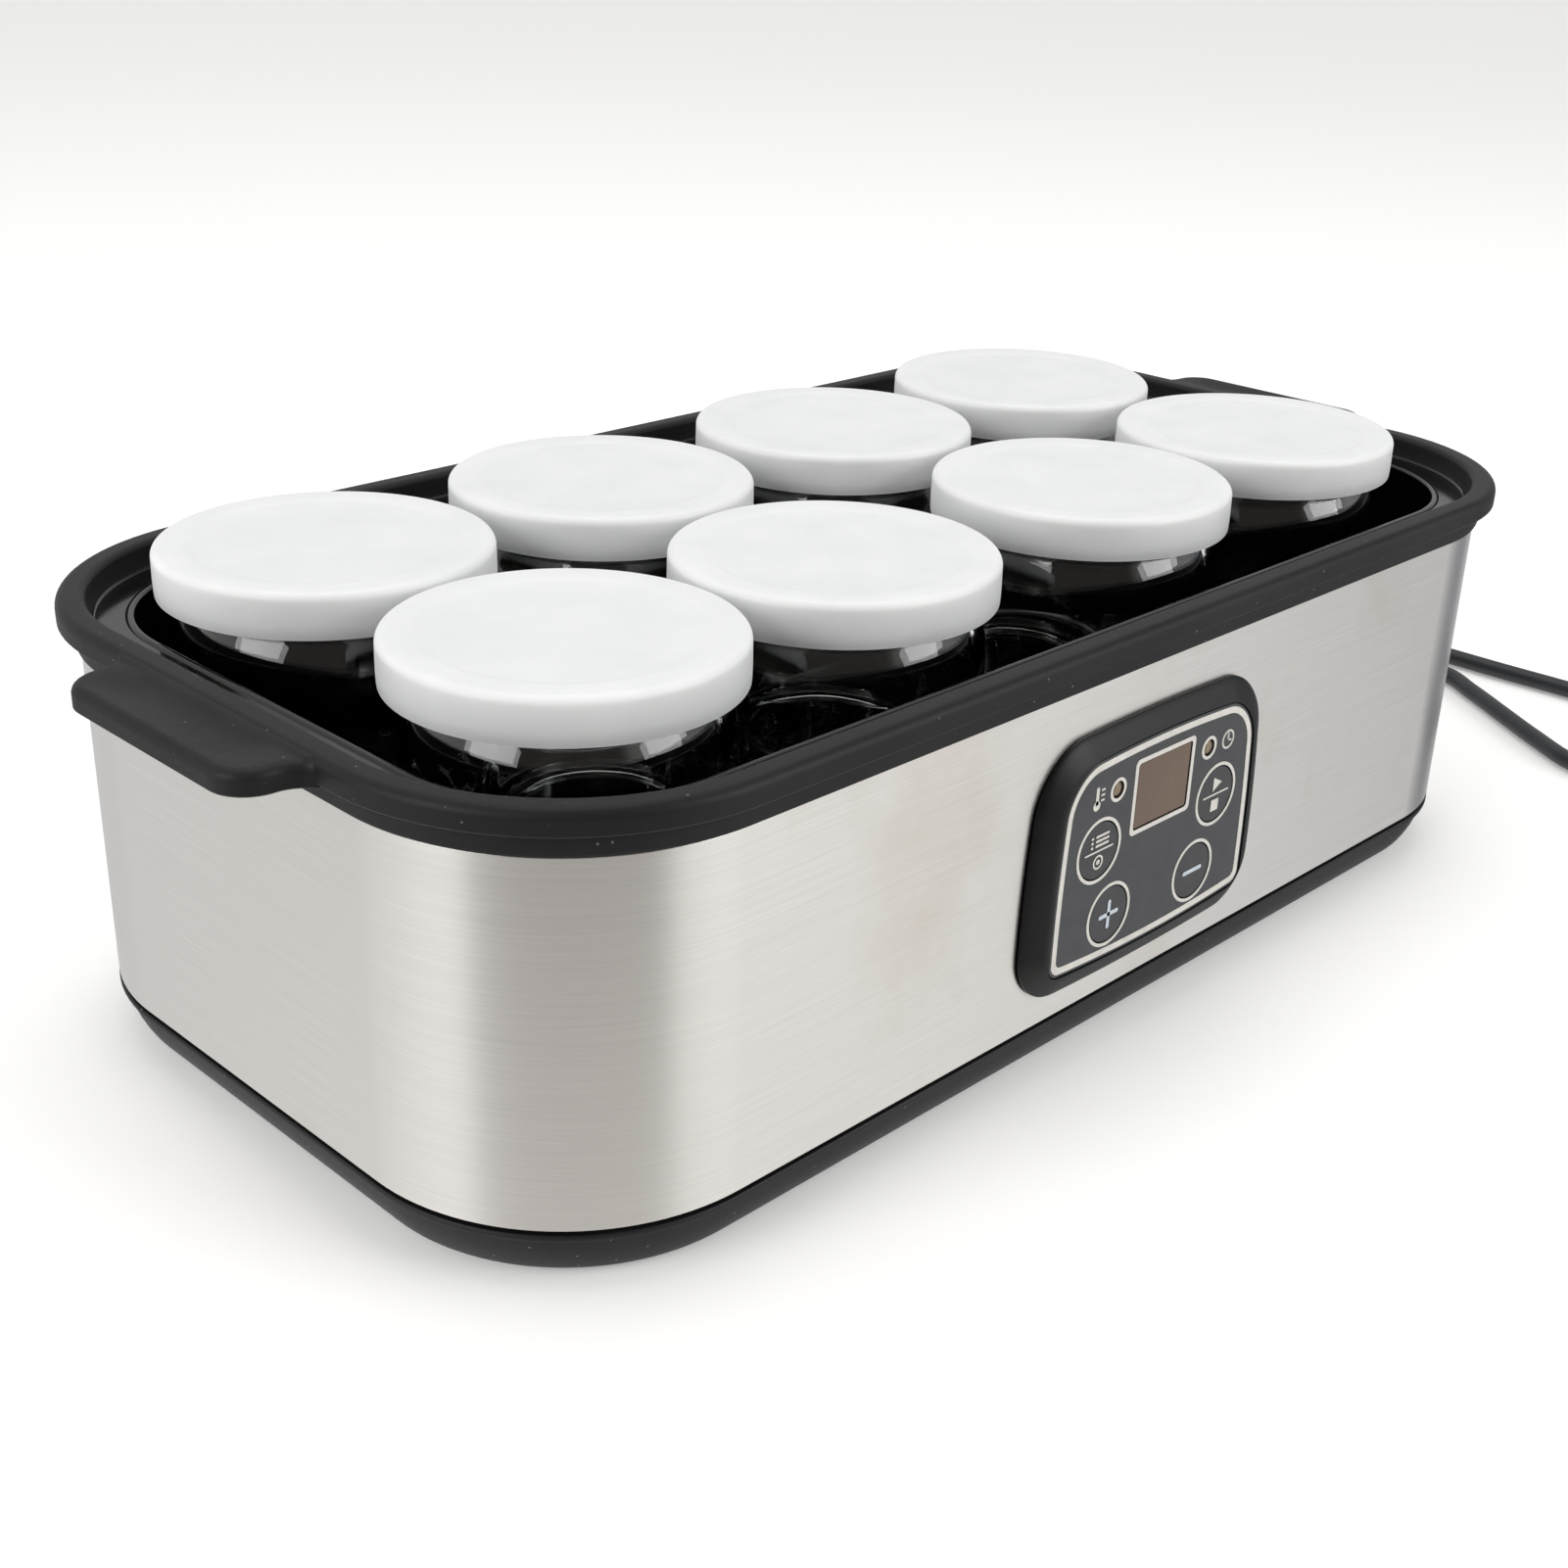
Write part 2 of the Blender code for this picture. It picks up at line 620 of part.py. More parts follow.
def overlay_outline(clear=0.0):
    half = PANEL_HALF - OVERLAY_SIDE + clear
    bottom, top = PANEL_BOTTOM + OVERLAY_BOTTOM - clear, PANEL_TOP - OVERLAY_TOP + clear
    return panel_outline(half, bottom, top, 3 * MM + clear, PANEL_SHOULDER - 4 * MM + clear, OVERLAY_BOW)


def post_places():
    return [(-POST_X, POST_LOW), (POST_X, POST_LOW), (POST_X, POST_HIGH), (-POST_X, POST_HIGH)]


def make_bezel(mat):
    """The panel's frame: rounded edges, a pocket for the overlay, holes for keys, lenses and window, and posts."""
    edge = PANEL_EDGE
    front = PANEL_PROUD
    steps = [
        (0, 0.25 * front),
        (0.25 * edge, 0.5 * front),
        (0.6 * edge, 0.78 * front),
        (edge, front),
    ]
    outline = panel_outline(PANEL_HALF, PANEL_BOTTOM, PANEL_TOP, PANEL_FOOT, PANEL_SHOULDER, PANEL_BOW)
    bezel = stacked("panel_bezel", outline, CLEAR, steps, where=on_panel(), turn=PANEL_TURN, mat=mat)
    pocket_z = front - OVERLAY_THICK - 2 * CLEAR
    pocket = stacked(
        "overlay_pocket",
        overlay_outline(CLEAR),
        pocket_z,
        [(0, front + MM)],
        where=on_panel(),
        turn=PANEL_TURN,
        kind=CUTTERS,
    )
    boolean(bezel, pocket)
    for name, at in KEY_PLACES.items():
        boolean(bezel, panel_rod(f"{name}_hole", KEY_RADIUS + CLEAR, -MM, front + MM, at, kind=CUTTERS))
    for name, at in LENS_PLACES.items():
        boolean(bezel, panel_rod(f"{name}_hole", LENS_RADIUS + CLEAR, -MM, front + MM, at, kind=CUTTERS))
    hole = block(
        "window_hole",
        (2 * (WINDOW_HALF_X + CLEAR), 2 * (WINDOW_HALF_Y + CLEAR), 4 * front),
        (0, WINDOW_MIDDLE, 0),
        where=on_panel(),
        turn=PANEL_TURN,
        kind=CUTTERS,
    )
    boolean(bezel, hole)
    for number, at in enumerate(post_places(), 1):
        end = -BOARD_DEPTH + CLEAR
        boolean(bezel, panel_rod(f"post_{number}", POST_RADIUS, end, MM, at, kind=CUTTERS, steps=10), "UNION")
        bore = 0.9 * MM + CLEAR
        boolean(bezel, panel_rod(f"post_bore_{number}", bore, end - MM, -MM, at, kind=CUTTERS, steps=8))
    return bezel


def make_overlay(mat):
    """The printed sheet in the bezel's pocket, with holes for keys, lenses and window."""
    back = PANEL_PROUD - OVERLAY_THICK - CLEAR
    sheet = stacked(
        "panel_overlay",
        overlay_outline(),
        back,
        [(0, back + OVERLAY_THICK)],
        where=on_panel(),
        turn=PANEL_TURN,
        mat=mat,
    )
    for name, at in KEY_PLACES.items():
        hole = panel_rod(f"{name}_sheet_hole", KEY_RADIUS + CLEAR, 0, 3 * PANEL_PROUD, at, kind=CUTTERS)
        boolean(sheet, hole)
    for name, at in LENS_PLACES.items():
        hole = panel_rod(f"{name}_sheet_hole", LENS_RADIUS + CLEAR, 0, 3 * PANEL_PROUD, at, kind=CUTTERS)
        boolean(sheet, hole)
    window = block(
        "window_sheet_hole",
        (2 * (WINDOW_HALF_X + CLEAR), 2 * (WINDOW_HALF_Y + CLEAR), 4 * PANEL_PROUD),
        (0, WINDOW_MIDDLE, 0),
        where=on_panel(),
        turn=PANEL_TURN,
        kind=CUTTERS,
    )
    boolean(sheet, window)
    return sheet


def make_keys(mat):
    """Four round keys, each with a retaining flange behind the bezel and a stem over its switch."""
    front = PANEL_PROUD - CLEAR
    flange = KEY_RADIUS + 0.8 * MM
    stem_end = -BOARD_DEPTH + CLEAR + SWITCH_HEIGHT + KEY_TRAVEL + CLEAR
    flange_back = -CLEAR
    profile = [
        (0, front),
        (KEY_RADIUS - 0.4 * MM, front),
        (KEY_RADIUS, front - 0.4 * MM),
        (KEY_RADIUS, 0),
        (flange, 0),
        (flange, flange_back - 0.3 * MM),
        (1.6 * MM, flange_back - 0.3 * MM),
        (1.6 * MM, stem_end),
        (0, stem_end),
    ]
    for name, (x, z) in KEY_PLACES.items():
        turned(name, profile, where=(x, -SHELL_HALF_Y, above(z)), turn=PANEL_TURN, steps=16, mat=mat)


def make_window(mat):
    """The display's clear window."""
    return block(
        "display_window",
        (2 * WINDOW_HALF_X, 2 * WINDOW_HALF_Y, 1.6 * MM),
        (0, WINDOW_MIDDLE, PANEL_PROUD - 0.8 * MM - CLEAR),
        where=on_panel(),
        turn=PANEL_TURN,
        mat=mat,
    )


def make_lenses(mat):
    """Two indicator light pipes, each with its lamp end just off the board."""
    end = -BOARD_DEPTH + 2 * CLEAR
    for name, at in LENS_PLACES.items():
        panel_rod(name, LENS_RADIUS, end, PANEL_PROUD - CLEAR, at, mat=mat, steps=16)


def make_board(mat, black, steel):
    """The control board on the bezel's posts, with its display, four switches and four screws."""
    low = POST_LOW - BOARD_MARGIN
    high = POST_HIGH + BOARD_MARGIN
    half = POST_X + BOARD_MARGIN
    back = -BOARD_DEPTH - BOARD_THICK
    outline = rounded(half, (high - low) / 2, 1.5 * MM, 3, cy=(low + high) / 2)
    board = stacked(
        "control_board", outline, back, [(0, -BOARD_DEPTH)], where=on_panel(), turn=PANEL_TURN, mat=mat
    )
    for number, at in enumerate(post_places(), 1):
        hole = panel_rod(f"board_hole_{number}", 1.2 * MM, back - MM, 0, at, kind=CUTTERS, steps=8)
        boolean(board, hole)
        profile = screw_profile(0.9 * MM, 1.8 * MM, 1.1 * MM, 4.2 * MM, back - 1.1 * MM - CLEAR)
        where = (at[0], -SHELL_HALF_Y, above(at[1]))
        turned(f"board_screw_{number}", profile, where=where, turn=PANEL_TURN, steps=8, mat=steel)
    front = PANEL_PROUD - 1.6 * MM - 2 * CLEAR
    rear = -BOARD_DEPTH + CLEAR
    block(
        "display_module",
        (2 * (WINDOW_HALF_X - 0.5 * MM), 2 * (WINDOW_HALF_Y - 0.5 * MM), front - rear),
        (0, WINDOW_MIDDLE, (front + rear) / 2),
        where=on_panel(),
        turn=PANEL_TURN,
        mat=black,
    )
    for name, (x, z) in KEY_PLACES.items():
        block(
            name.replace("key", "switch"),
            (SWITCH_SIDE, SWITCH_SIDE, SWITCH_HEIGHT),
            (x, z, rear + SWITCH_HEIGHT / 2),
            where=on_panel(),
            turn=PANEL_TURN,
            mat=black,
        )
    return board


def heater_z():
    """The underside of the heater plate."""
    return TANK_FLOOR_Z - TUB_WALL - 2 * CLEAR - HEATER_THICK


def make_heater(plate_mat, element_mat, sensor_mat):
    """The aluminium heater plate under the tank, its element, and the sensor and fuse clipped beneath it."""
    low = heater_z()
    stacked(
        "heater_plate",
        shell_outline(-HEATER_MARGIN),
        above(low),
        [(0, above(low + HEATER_THICK))],
        mat=plate_mat,
    )
    half_x = SHELL_HALF_X - HEATER_MARGIN - ELEMENT_INSET
    half_y = SHELL_HALF_Y - HEATER_MARGIN - 0.5 * ELEMENT_INSET
    loop = rounded(half_x, half_y, ELEMENT_BEND, 5)
    middle = above(low - CLEAR - ELEMENT_RADIUS)
    quarter = len(loop) // 4
    loop = loop[quarter:] + loop[:quarter]
    gap = 0.35 * half_x
    line = [(x, y, middle) for x, y in [(-gap, half_y)] + loop + [(gap, half_y)]]
    tube("heating_element", line, ELEMENT_RADIUS, mat=element_mat)
    top = above(low) - CLEAR
    rod("thermal_sensor", 4.0 * MM, top - 6.0 * MM, top, where=(-30 * MM, 0, 0), mat=sensor_mat)
    block("thermal_fuse", (16 * MM, 7 * MM, 5 * MM), (34 * MM, 0, top - 2.5 * MM), mat=sensor_mat)


def make_gland(mat):
    """The strain relief: a flange each side of the shell and a tapered sleeve round the cord."""
    wall = SHELL_WALL
    profile = [
        (0, GLAND_REACH),
        (GLAND_TIP, GLAND_REACH),
        (GLAND_ROOT, 2.6 * MM),
        (GLAND_ROOT + 2.2 * MM, 2.2 * MM),
        (GLAND_ROOT + 2.2 * MM, CLEAR),
        (GLAND_ROOT, CLEAR),
        (GLAND_ROOT, -wall - CLEAR),
        (GLAND_ROOT + 1.6 * MM, -wall - CLEAR),
        (GLAND_ROOT + 1.6 * MM, -wall - 2.4 * MM),
        (0, -wall - 2.4 * MM),
    ]
    where = (SHELL_HALF_X, 0, above(CORD_EXIT_Z))
    turned("cord_gland", profile, where=where, turn=(0, pi / 2, 0), steps=20, mat=mat)


def cord_route():
    """The cord's chosen points, from the strain relief to the coil."""
    lie = CORD_LIE
    exit_x = SHELL_HALF_X + GLAND_REACH + CLEAR
    out = above(CORD_EXIT_Z)
    chosen = [
        (exit_x, 0.0, out),
        (exit_x + 8 * MM, 0.0, out - 0.3 * MM),
        (exit_x + 17 * MM, 0.0, out - 4.5 * MM),
        (exit_x + 28 * MM, -1 * MM, out - 15.5 * MM),
        (exit_x + 39 * MM, -4 * MM, lie + 1.5 * MM),
        (exit_x + 52 * MM, -13 * MM, lie),
    ]
    floor = [
        (254.5, -30.0),
        (246.0, -46.0),
        (236.0, -61.5),
        (225.5, -78.0),
        (217.0, -94.0),
        (217.0, -112.0),
        (230.0, -126.0),
        (248.0, -127.0),
        (263.0, -115.0),
        (270.5, -97.0),
        (272.5, -78.0),
        (272.2, -62.0),
        (271.2, -43.0),
        (270.7, -23.0),
        (270.5, 0.0),
        (269.0, 26.0),
        (263.0, 56.0),
        (250.0, 86.0),
        (226.0, 110.0),
        (196.0, 119.5),
        (162.0, 119.0),
    ]
    chosen += [(x * MM, y * MM, lie) for x, y in floor]
    chosen += [(COIL_X + 24.4 * MM, COIL_Y - 29.6 * MM, lie)]
    return [Vector(p) for p in chosen]


def smooth_line(points, spacing):
    """Points about one spacing apart on a smooth curve through the chosen ones."""
    ends = [2 * points[0] - points[1]] + points + [2 * points[-1] - points[-2]]
    line = []
    for before, start, end, after in zip(ends, ends[1:], ends[2:], ends[3:]):
        steps = max(1, round((end - start).length / spacing))
        for i in range(steps):
            t = i / steps
            pull = (end - before) * t + (2 * before - 5 * start + 4 * end - after) * t**2
            pull += (3 * start - before - 3 * end + after) * t**3
            line.append(start + 0.5 * pull)
    return line + [points[-1]]


def make_cord(mat):
    """The free cord: the loose stretch, the coil as the ring that its turns fill."""
    line = smooth_line(cord_route(), 12 * MM)
    tube("cord", line, CORD_RADIUS, mat=mat)
    half = COIL_BUNDLE / 2
    middle = half + 0.2 * MM
    rim = [(COIL_RADIUS + half * cos(t), half * sin(t)) for t in (radians(30 + 60 * i) for i in range(6))]
    ring = [(r, middle + z) for r, z in reversed(rim)]
    turned("cord_coil", ring, where=(COIL_X, COIL_Y, 0), steps=28, mat=mat)


def make_plug(mat, metal):
    """The mains plug, lying on the surface beside the coil, and its two pins."""
    half_x, half_y = PLUG_LENGTH / 2, PLUG_WIDTH / 2
    low = 0.3 * MM
    steps = [
        (-1.2 * MM, low + 1.2 * MM),
        (-1.2 * MM, low + PLUG_HEIGHT - 1.6 * MM),
        (0.4 * MM, low + PLUG_HEIGHT),
    ]
    outline = rounded(half_x, half_y, 5 * MM, 3)
    stacked("mains_plug", outline, low, steps, where=(PLUG_X, PLUG_Y, 0), mat=mat)
    tip = PLUG_X - half_x - 1.2 * MM - CLEAR
    for number, side in ((1, -1), (2, 1)):
        where = (tip, PLUG_Y + side * PIN_SPACING / 2, low + PLUG_HEIGHT / 2)
        rod(f"plug_pin_{number}", PIN_RADIUS, 0, PIN_LENGTH, where, (0, -pi / 2, 0), 12, mat=metal)


for old in list(bpy.data.objects):
    bpy.data.objects.remove(old, do_unlink=True)
PARTS = collection("yogurt_maker")
CUTTERS = collection("cutters")

BLACK = colour("black_plastic", (0.035, 0.035, 0.037), 0.5)
STEEL = colour("brushed_steel", (0.66, 0.65, 0.62), 0.32, 1.0)
RUBBER = colour("rubber", (0.02, 0.02, 0.02), 0.85)
GLASS = colour("jar_glass", (0.75, 0.82, 0.8), 0.05)
WHITE = colour("white_plastic", (0.86, 0.86, 0.85), 0.4)
SLATE = colour("overlay_print", (0.07, 0.07, 0.08), 0.4)
AMBER = colour("smoked_window", (0.2, 0.13, 0.1), 0.2)
BOARD = colour("circuit_board", (0.02, 0.2, 0.07), 0.6)
ALUMINIUM = colour("aluminium", (0.75, 0.75, 0.76), 0.35, 1.0)
SILICONE = colour("element_sleeve", (0.5, 0.12, 0.08), 0.6)

make_tub(BLACK)
make_shell(STEEL)
make_base(BLACK)
make_feet(RUBBER)
make_base_screws(STEEL)
make_jars(GLASS, WHITE)
make_bezel(BLACK)
make_overlay(SLATE)
make_keys(SLATE)
make_window(AMBER)
make_lenses(AMBER)
make_board(BOARD, BLACK, STEEL)
make_heater(ALUMINIUM, SILICONE, WHITE)
make_gland(BLACK)
make_cord(BLACK)
make_plug(BLACK, STEEL)
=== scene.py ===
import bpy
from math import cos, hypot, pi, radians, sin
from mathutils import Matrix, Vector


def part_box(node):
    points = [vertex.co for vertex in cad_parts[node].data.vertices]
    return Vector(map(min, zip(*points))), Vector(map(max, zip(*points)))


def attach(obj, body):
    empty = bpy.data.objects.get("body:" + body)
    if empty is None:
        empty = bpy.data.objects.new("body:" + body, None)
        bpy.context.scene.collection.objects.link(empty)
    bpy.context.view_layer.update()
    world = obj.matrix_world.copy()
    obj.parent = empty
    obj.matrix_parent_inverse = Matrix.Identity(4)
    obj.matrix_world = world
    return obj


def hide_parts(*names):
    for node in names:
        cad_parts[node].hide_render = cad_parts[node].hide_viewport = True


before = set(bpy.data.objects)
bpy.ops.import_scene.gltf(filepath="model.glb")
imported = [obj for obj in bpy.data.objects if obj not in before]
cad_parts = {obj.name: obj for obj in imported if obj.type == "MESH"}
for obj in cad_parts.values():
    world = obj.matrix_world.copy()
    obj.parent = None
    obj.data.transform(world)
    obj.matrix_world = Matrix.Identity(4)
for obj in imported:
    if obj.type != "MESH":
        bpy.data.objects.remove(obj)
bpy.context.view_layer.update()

# %% [markdown]
# # A yogurt maker, piece by piece
# The machine is a brushed steel sleeve between a black base pan and a black moulded tub. Eight glass jars with
# white lids stand in the tub, a small control panel sits on the front, and the mains cord leaves the right-hand
# end. Every height below is in millimetres above the base pan's underside, and the feet hold that 1.5 mm up.

MM = 0.001
FOOT_DROP = 1.5


def up(z):
    """A height over the surface, in metres, of a height over the base pan's underside, in millimetres."""
    return (z + FOOT_DROP) * MM


def metres(*millimetres):
    """Millimetres as a tuple of metres."""
    return tuple(value * MM for value in millimetres)


def deselect_all():
    if bpy.context.mode != "OBJECT":
        bpy.ops.object.mode_set(mode="OBJECT")
    bpy.ops.object.select_all(action="DESELECT")


def choose(obj):
    """Make this object the only selected one and the active one."""
    deselect_all()
    obj.select_set(True)
    bpy.context.view_layer.objects.active = obj


def named(name):
    """Name the object that was just added."""
    obj = bpy.context.object
    obj.name = obj.data.name = name
    return obj


# %% [markdown]
# ## The camera
# It looks down on the near corner from the left, with a slightly long lens, tilted a degree or two. Its axes come
# from the heading, the pitch and the roll.

# %% Camera
HEADING, PITCH, ROLL = radians(45.766), radians(24.572), radians(-1.790)
LENS, SENSOR = 47.57183, 36.0
forward = Vector((sin(HEADING) * cos(PITCH), cos(HEADING) * cos(PITCH), -sin(PITCH)))
level_right = Vector((cos(HEADING), -sin(HEADING), 0))
level_down = forward.cross(level_right)
camera_right = level_right * cos(ROLL) + level_down * sin(ROLL)
camera_down = level_down * cos(ROLL) - level_right * sin(ROLL)
turn = Matrix((camera_right, -camera_down, -forward)).transposed()
bpy.ops.object.camera_add(location=metres(-348.92, -319.38, 245.32))
camera = named("camera")
camera.rotation_euler = turn.to_euler()
camera.data.sensor_width = SENSOR
camera.data.lens = LENS
camera.data.clip_start = 0.01
bpy.context.scene.camera = camera
print("camera lens", round(camera.data.lens, 2), "mm")

# %% [markdown]
# ## Colours and materials
# Each finish is a small tree of nodes round a Principled shader. Colours are typed in sRGB and turned to linear
# light once. A pattern's scale comes from a real size in millimetres.

# %% Colour and node helpers
def linear(hex_code):
    """An sRGB hex colour as linear RGBA."""
    parts = [int(hex_code[i : i + 2], 16) / 255 for i in (1, 3, 5)]
    return [c / 12.92 if c <= 0.04045 else ((c + 0.055) / 1.055) ** 2.4 for c in parts] + [1.0]


def per_mm(size):
    """The texture scale, for coordinates in metres, whose pattern is about this many millimetres wide."""
    return 1000.0 / size


def new_material(name, **values):
    """A Principled material with constant values on the shader's own sockets."""
    made = bpy.data.materials.new(name)
    made.use_nodes = True
    shader = made.node_tree.nodes["Principled BSDF"]
    for socket, value in values.items():
        shader.inputs[socket.replace("_", " ")].default_value = value
    return made, shader


def add_node(made, kind, links=(), **settings):
    """Add a node, set its properties and sockets, and link (its socket, the node, the other's socket)."""
    node = made.node_tree.nodes.new(kind)
    for key, value in settings.items():
        if hasattr(node, key):
            setattr(node, key, value)
        else:
            node.inputs[key.replace("_", " ")].default_value = value
    for socket, other, output in links:
        made.node_tree.links.new(other.outputs[output], node.inputs[socket])
    return node


def join(made, source, output, target, socket):
    """Link one node's output to another's input."""
    made.node_tree.links.new(source.outputs[output], target.inputs[socket])


def place_pattern(made, stretch=(1, 1, 1)):
    """Object coordinates, stretched, for a pattern that stays on the piece."""
    where = add_node(made, "ShaderNodeTexCoord")
    return add_node(made, "ShaderNodeMapping", [("Vector", where, "Object")], Scale=stretch)


def noise(made, where, size, **settings):
    """A noise texture whose pattern is about size millimetres wide."""
    return add_node(made, "ShaderNodeTexNoise", [("Vector", where, "Vector")], Scale=per_mm(size), **settings)


def shades(made, source, output, *stops):
    """Colours along a value from 0 to 1: each stop is (place, hex colour)."""
    ramp = add_node(made, "ShaderNodeValToRGB", [("Fac", source, output)])
    points = ramp.color_ramp.elements
    while len(points) < len(stops):
        points.new(0.5)
    for point, (place, code) in zip(points, stops):
        point.position = place
        point.color = linear(code)
    return ramp


def spread(made, source, output, low, high, start=0.0, end=1.0):
    """A value between start and end moved to between low and high."""
    limits = {"From_Min": start, "From_Max": end, "To_Min": low, "To_Max": high}
    return add_node(made, "ShaderNodeMapRange", [("Value", source, output)], **limits)


def bump(made, shader, source, height_mm, strength):
    """Raise the surface by a noise pattern, by at most a height in millimetres."""
    settings = {"Distance": height_mm * MM, "Strength": strength}
    relief = add_node(made, "ShaderNodeBump", [("Height", source, "Fac")], **settings)
    join(made, relief, "Normal", shader, "Normal")


def dress(made, shader, tint, colours, gloss, roughness):
    """Colour the shader between two stops by one pattern, and vary its roughness by another."""
    base = shades(made, tint, "Fac", *colours)
    join(made, base, "Color", shader, "Base Color")
    join(made, spread(made, gloss, "Fac", *roughness), "Result", shader, "Roughness")
    return base


def blend(made, first, factor=None, **settings):
    """A colour mix of the first node's colour with one that the caller gives."""
    mixed = add_node(made, "ShaderNodeMix", data_type="RGBA", **settings)
    if factor:
        join(made, factor, "Result", mixed, 0)
    join(made, first, "Color", mixed, 6)
    return mixed


# %% [markdown]
# ### Brushed stainless steel
# Sheet steel for the sleeve, brushed along its length. The scratches run level, so lights are smeared up and
# down between fine level streaks and faint brownish finger marks.

# %% Brushed steel
def make_brushed_steel():
    made, shader = new_material(
        "brushed_stainless_steel", Metallic=1.0, Roughness=0.3, Anisotropic=0.75, Anisotropic_Rotation=0.25
    )
    streak = noise(made, place_pattern(made, (0.012, 0.012, 1.0)), 0.5, Detail=4.0, Roughness=0.7)
    smudge = noise(made, place_pattern(made, (1.0, 1.0, 0.75)), 52, Detail=4.0, Roughness=0.6)
    base = shades(made, streak, "Fac", (0.25, "#DAD8D5"), (0.75, "#E6E4E1"))
    stain = shades(made, smudge, "Fac", (0.54, "#FFFFFF"), (0.78, "#E6DACD"))
    mixed = blend(made, base, blend_type="MULTIPLY")
    mixed.inputs["Factor"].default_value = 0.45
    join(made, stain, "Color", mixed, 7)
    join(made, mixed, 2, shader, "Base Color")
    join(made, spread(made, streak, "Fac", 0.28, 0.36), "Result", shader, "Roughness")
    tangent = add_node(made, "ShaderNodeTangent", direction_type="RADIAL", axis="Z")
    join(made, tangent, "Tangent", shader, "Tangent")
    bump(made, shader, streak, 0.003, 0.2)
    return made


# %% [markdown]
# ### Black mouldings
# The tub and base are polypropylene. The outside has a fine matte grain with a few specks of dust, while the
# tank's inside is polished and mirrors the jars.

# %% Black plastics
def make_grained_plastic(name, dark, light, roughness):
    """A matte moulding with a fine grain, a slight cloudiness and a few specks of dust."""
    made, shader = new_material(name, Roughness=roughness, IOR=1.49, Specular_IOR_Level=0.28)
    where = place_pattern(made)
    grain = noise(made, where, 0.55, Detail=2.0, Roughness=0.6)
    cloud = noise(made, where, 30, Detail=2.0)
    colours = ((0.3, dark), (0.7, light))
    base = dress(made, shader, cloud, colours, grain, (roughness - 0.08, roughness + 0.1))
    dust = add_node(made, "ShaderNodeTexVoronoi", [("Vector", where, "Vector")], Scale=per_mm(4.5), Randomness=1.0)
    speck = shades(made, dust, "Distance", (0.045, "#FFFFFF"), (0.07, "#000000"))
    mixed = blend(made, base, spread(made, speck, "Color", 0.0, 0.35))
    mixed.inputs[7].default_value = linear("#9A9A98")
    join(made, mixed, 2, shader, "Base Color")
    bump(made, shader, grain, 0.02, 0.6)
    return made


def make_polished_plastic():
    made, shader = new_material("polished_black_plastic", Roughness=0.12, IOR=1.49)
    where = place_pattern(made)
    haze = noise(made, where, 6, Detail=4.0)
    dress(made, shader, haze, ((0.3, "#060607"), (0.8, "#0E0E0F")), haze, (0.06, 0.2))
    bump(made, shader, noise(made, where, 22, Detail=2.0), 0.05, 0.5)
    return made


# %% [markdown]
# ### White lids and clear jars
# The lids are soft polypropylene, milky because light goes a little way in. The jars are pressed glass: clear,
# smooth and very slightly wavy.

# %% Lid plastic and glass
def make_lid_plastic():
    depths = {"Subsurface_Weight": 0.25, "Subsurface_Radius": (0.004, 0.0035, 0.003), "Subsurface_Scale": 1.0}
    made, shader = new_material("milky_white_plastic", Roughness=0.42, IOR=1.49, **depths)
    where = place_pattern(made)
    mottle = noise(made, where, 18, Detail=3.0, Roughness=0.5)
    dress(made, shader, mottle, ((0.3, "#EEF0F0"), (0.7, "#F5F6F6")), mottle, (0.36, 0.5))
    bump(made, shader, noise(made, where, 2.2, Detail=2.0), 0.02, 0.35)
    return made


def make_jar_glass():
    made, shader = new_material(
        "clear_pressed_glass", Roughness=0.0, IOR=1.5, Transmission_Weight=1.0, Base_Color=linear("#FAFCFB")
    )
    wave = noise(made, place_pattern(made, (1, 1, 0.4)), 14, Detail=1.0)
    bump(made, shader, wave, 0.18, 0.5)
    return made


# %% [markdown]
# ### Panel finishes
# A satin bezel, a slate-grey sheet printed with pale ink, a smoked window and cloudy brownish light pipes.

# %% Panel, print, cord and metal finishes
def make_soft_finish(name, dark, light, roughness, grain_mm, relief_mm, **more):
    """A plain surface with mottled colour, varied gloss and a fine relief."""
    made, shader = new_material(name, **more)
    where = place_pattern(made)
    grain = noise(made, where, grain_mm, Detail=3.0, Roughness=0.55)
    cloud = noise(made, where, 12 * grain_mm)
    dress(made, shader, cloud, ((0.3, dark), (0.7, light)), grain, (roughness - 0.07, roughness + 0.07))
    bump(made, shader, grain, relief_mm, 0.5)
    return made


STEEL = make_brushed_steel()
GRAINED = make_grained_plastic("grained_black_plastic", "#131314", "#1A1A1B", 0.5)
GRAINED_DARK = make_grained_plastic("grained_base_plastic", "#161617", "#1D1D1E", 0.5)
POLISHED = make_polished_plastic()
LID_WHITE = make_lid_plastic()
GLASS = make_jar_glass()
SATIN = make_soft_finish("satin_black_bezel", "#09090A", "#0E0E0F", 0.42, 0.4, 0.006, Specular_IOR_Level=0.3)
SHEET = make_soft_finish("slate_printed_sheet", "#303136", "#37383D", 0.42, 0.35, 0.004, IOR=1.55)
KEY_FACE = make_soft_finish("slate_key_face", "#292A2E", "#2F3034", 0.38, 0.35, 0.004, IOR=1.55)
INK = make_soft_finish("pale_panel_ink", "#C9C7C0", "#D6D4CD", 0.45, 0.3, 0.003)
INK_BLUE = make_soft_finish("cool_panel_ink", "#B9C3CE", "#C8D0D8", 0.45, 0.3, 0.003)
SMOKED = make_soft_finish("smoked_acrylic", "#5C493C", "#675243", 0.25, 3.0, 0.01, IOR=1.49)
AMBER = make_soft_finish("brown_light_pipe", "#6F5F4C", "#87755E", 0.3, 0.8, 0.01, IOR=1.49)
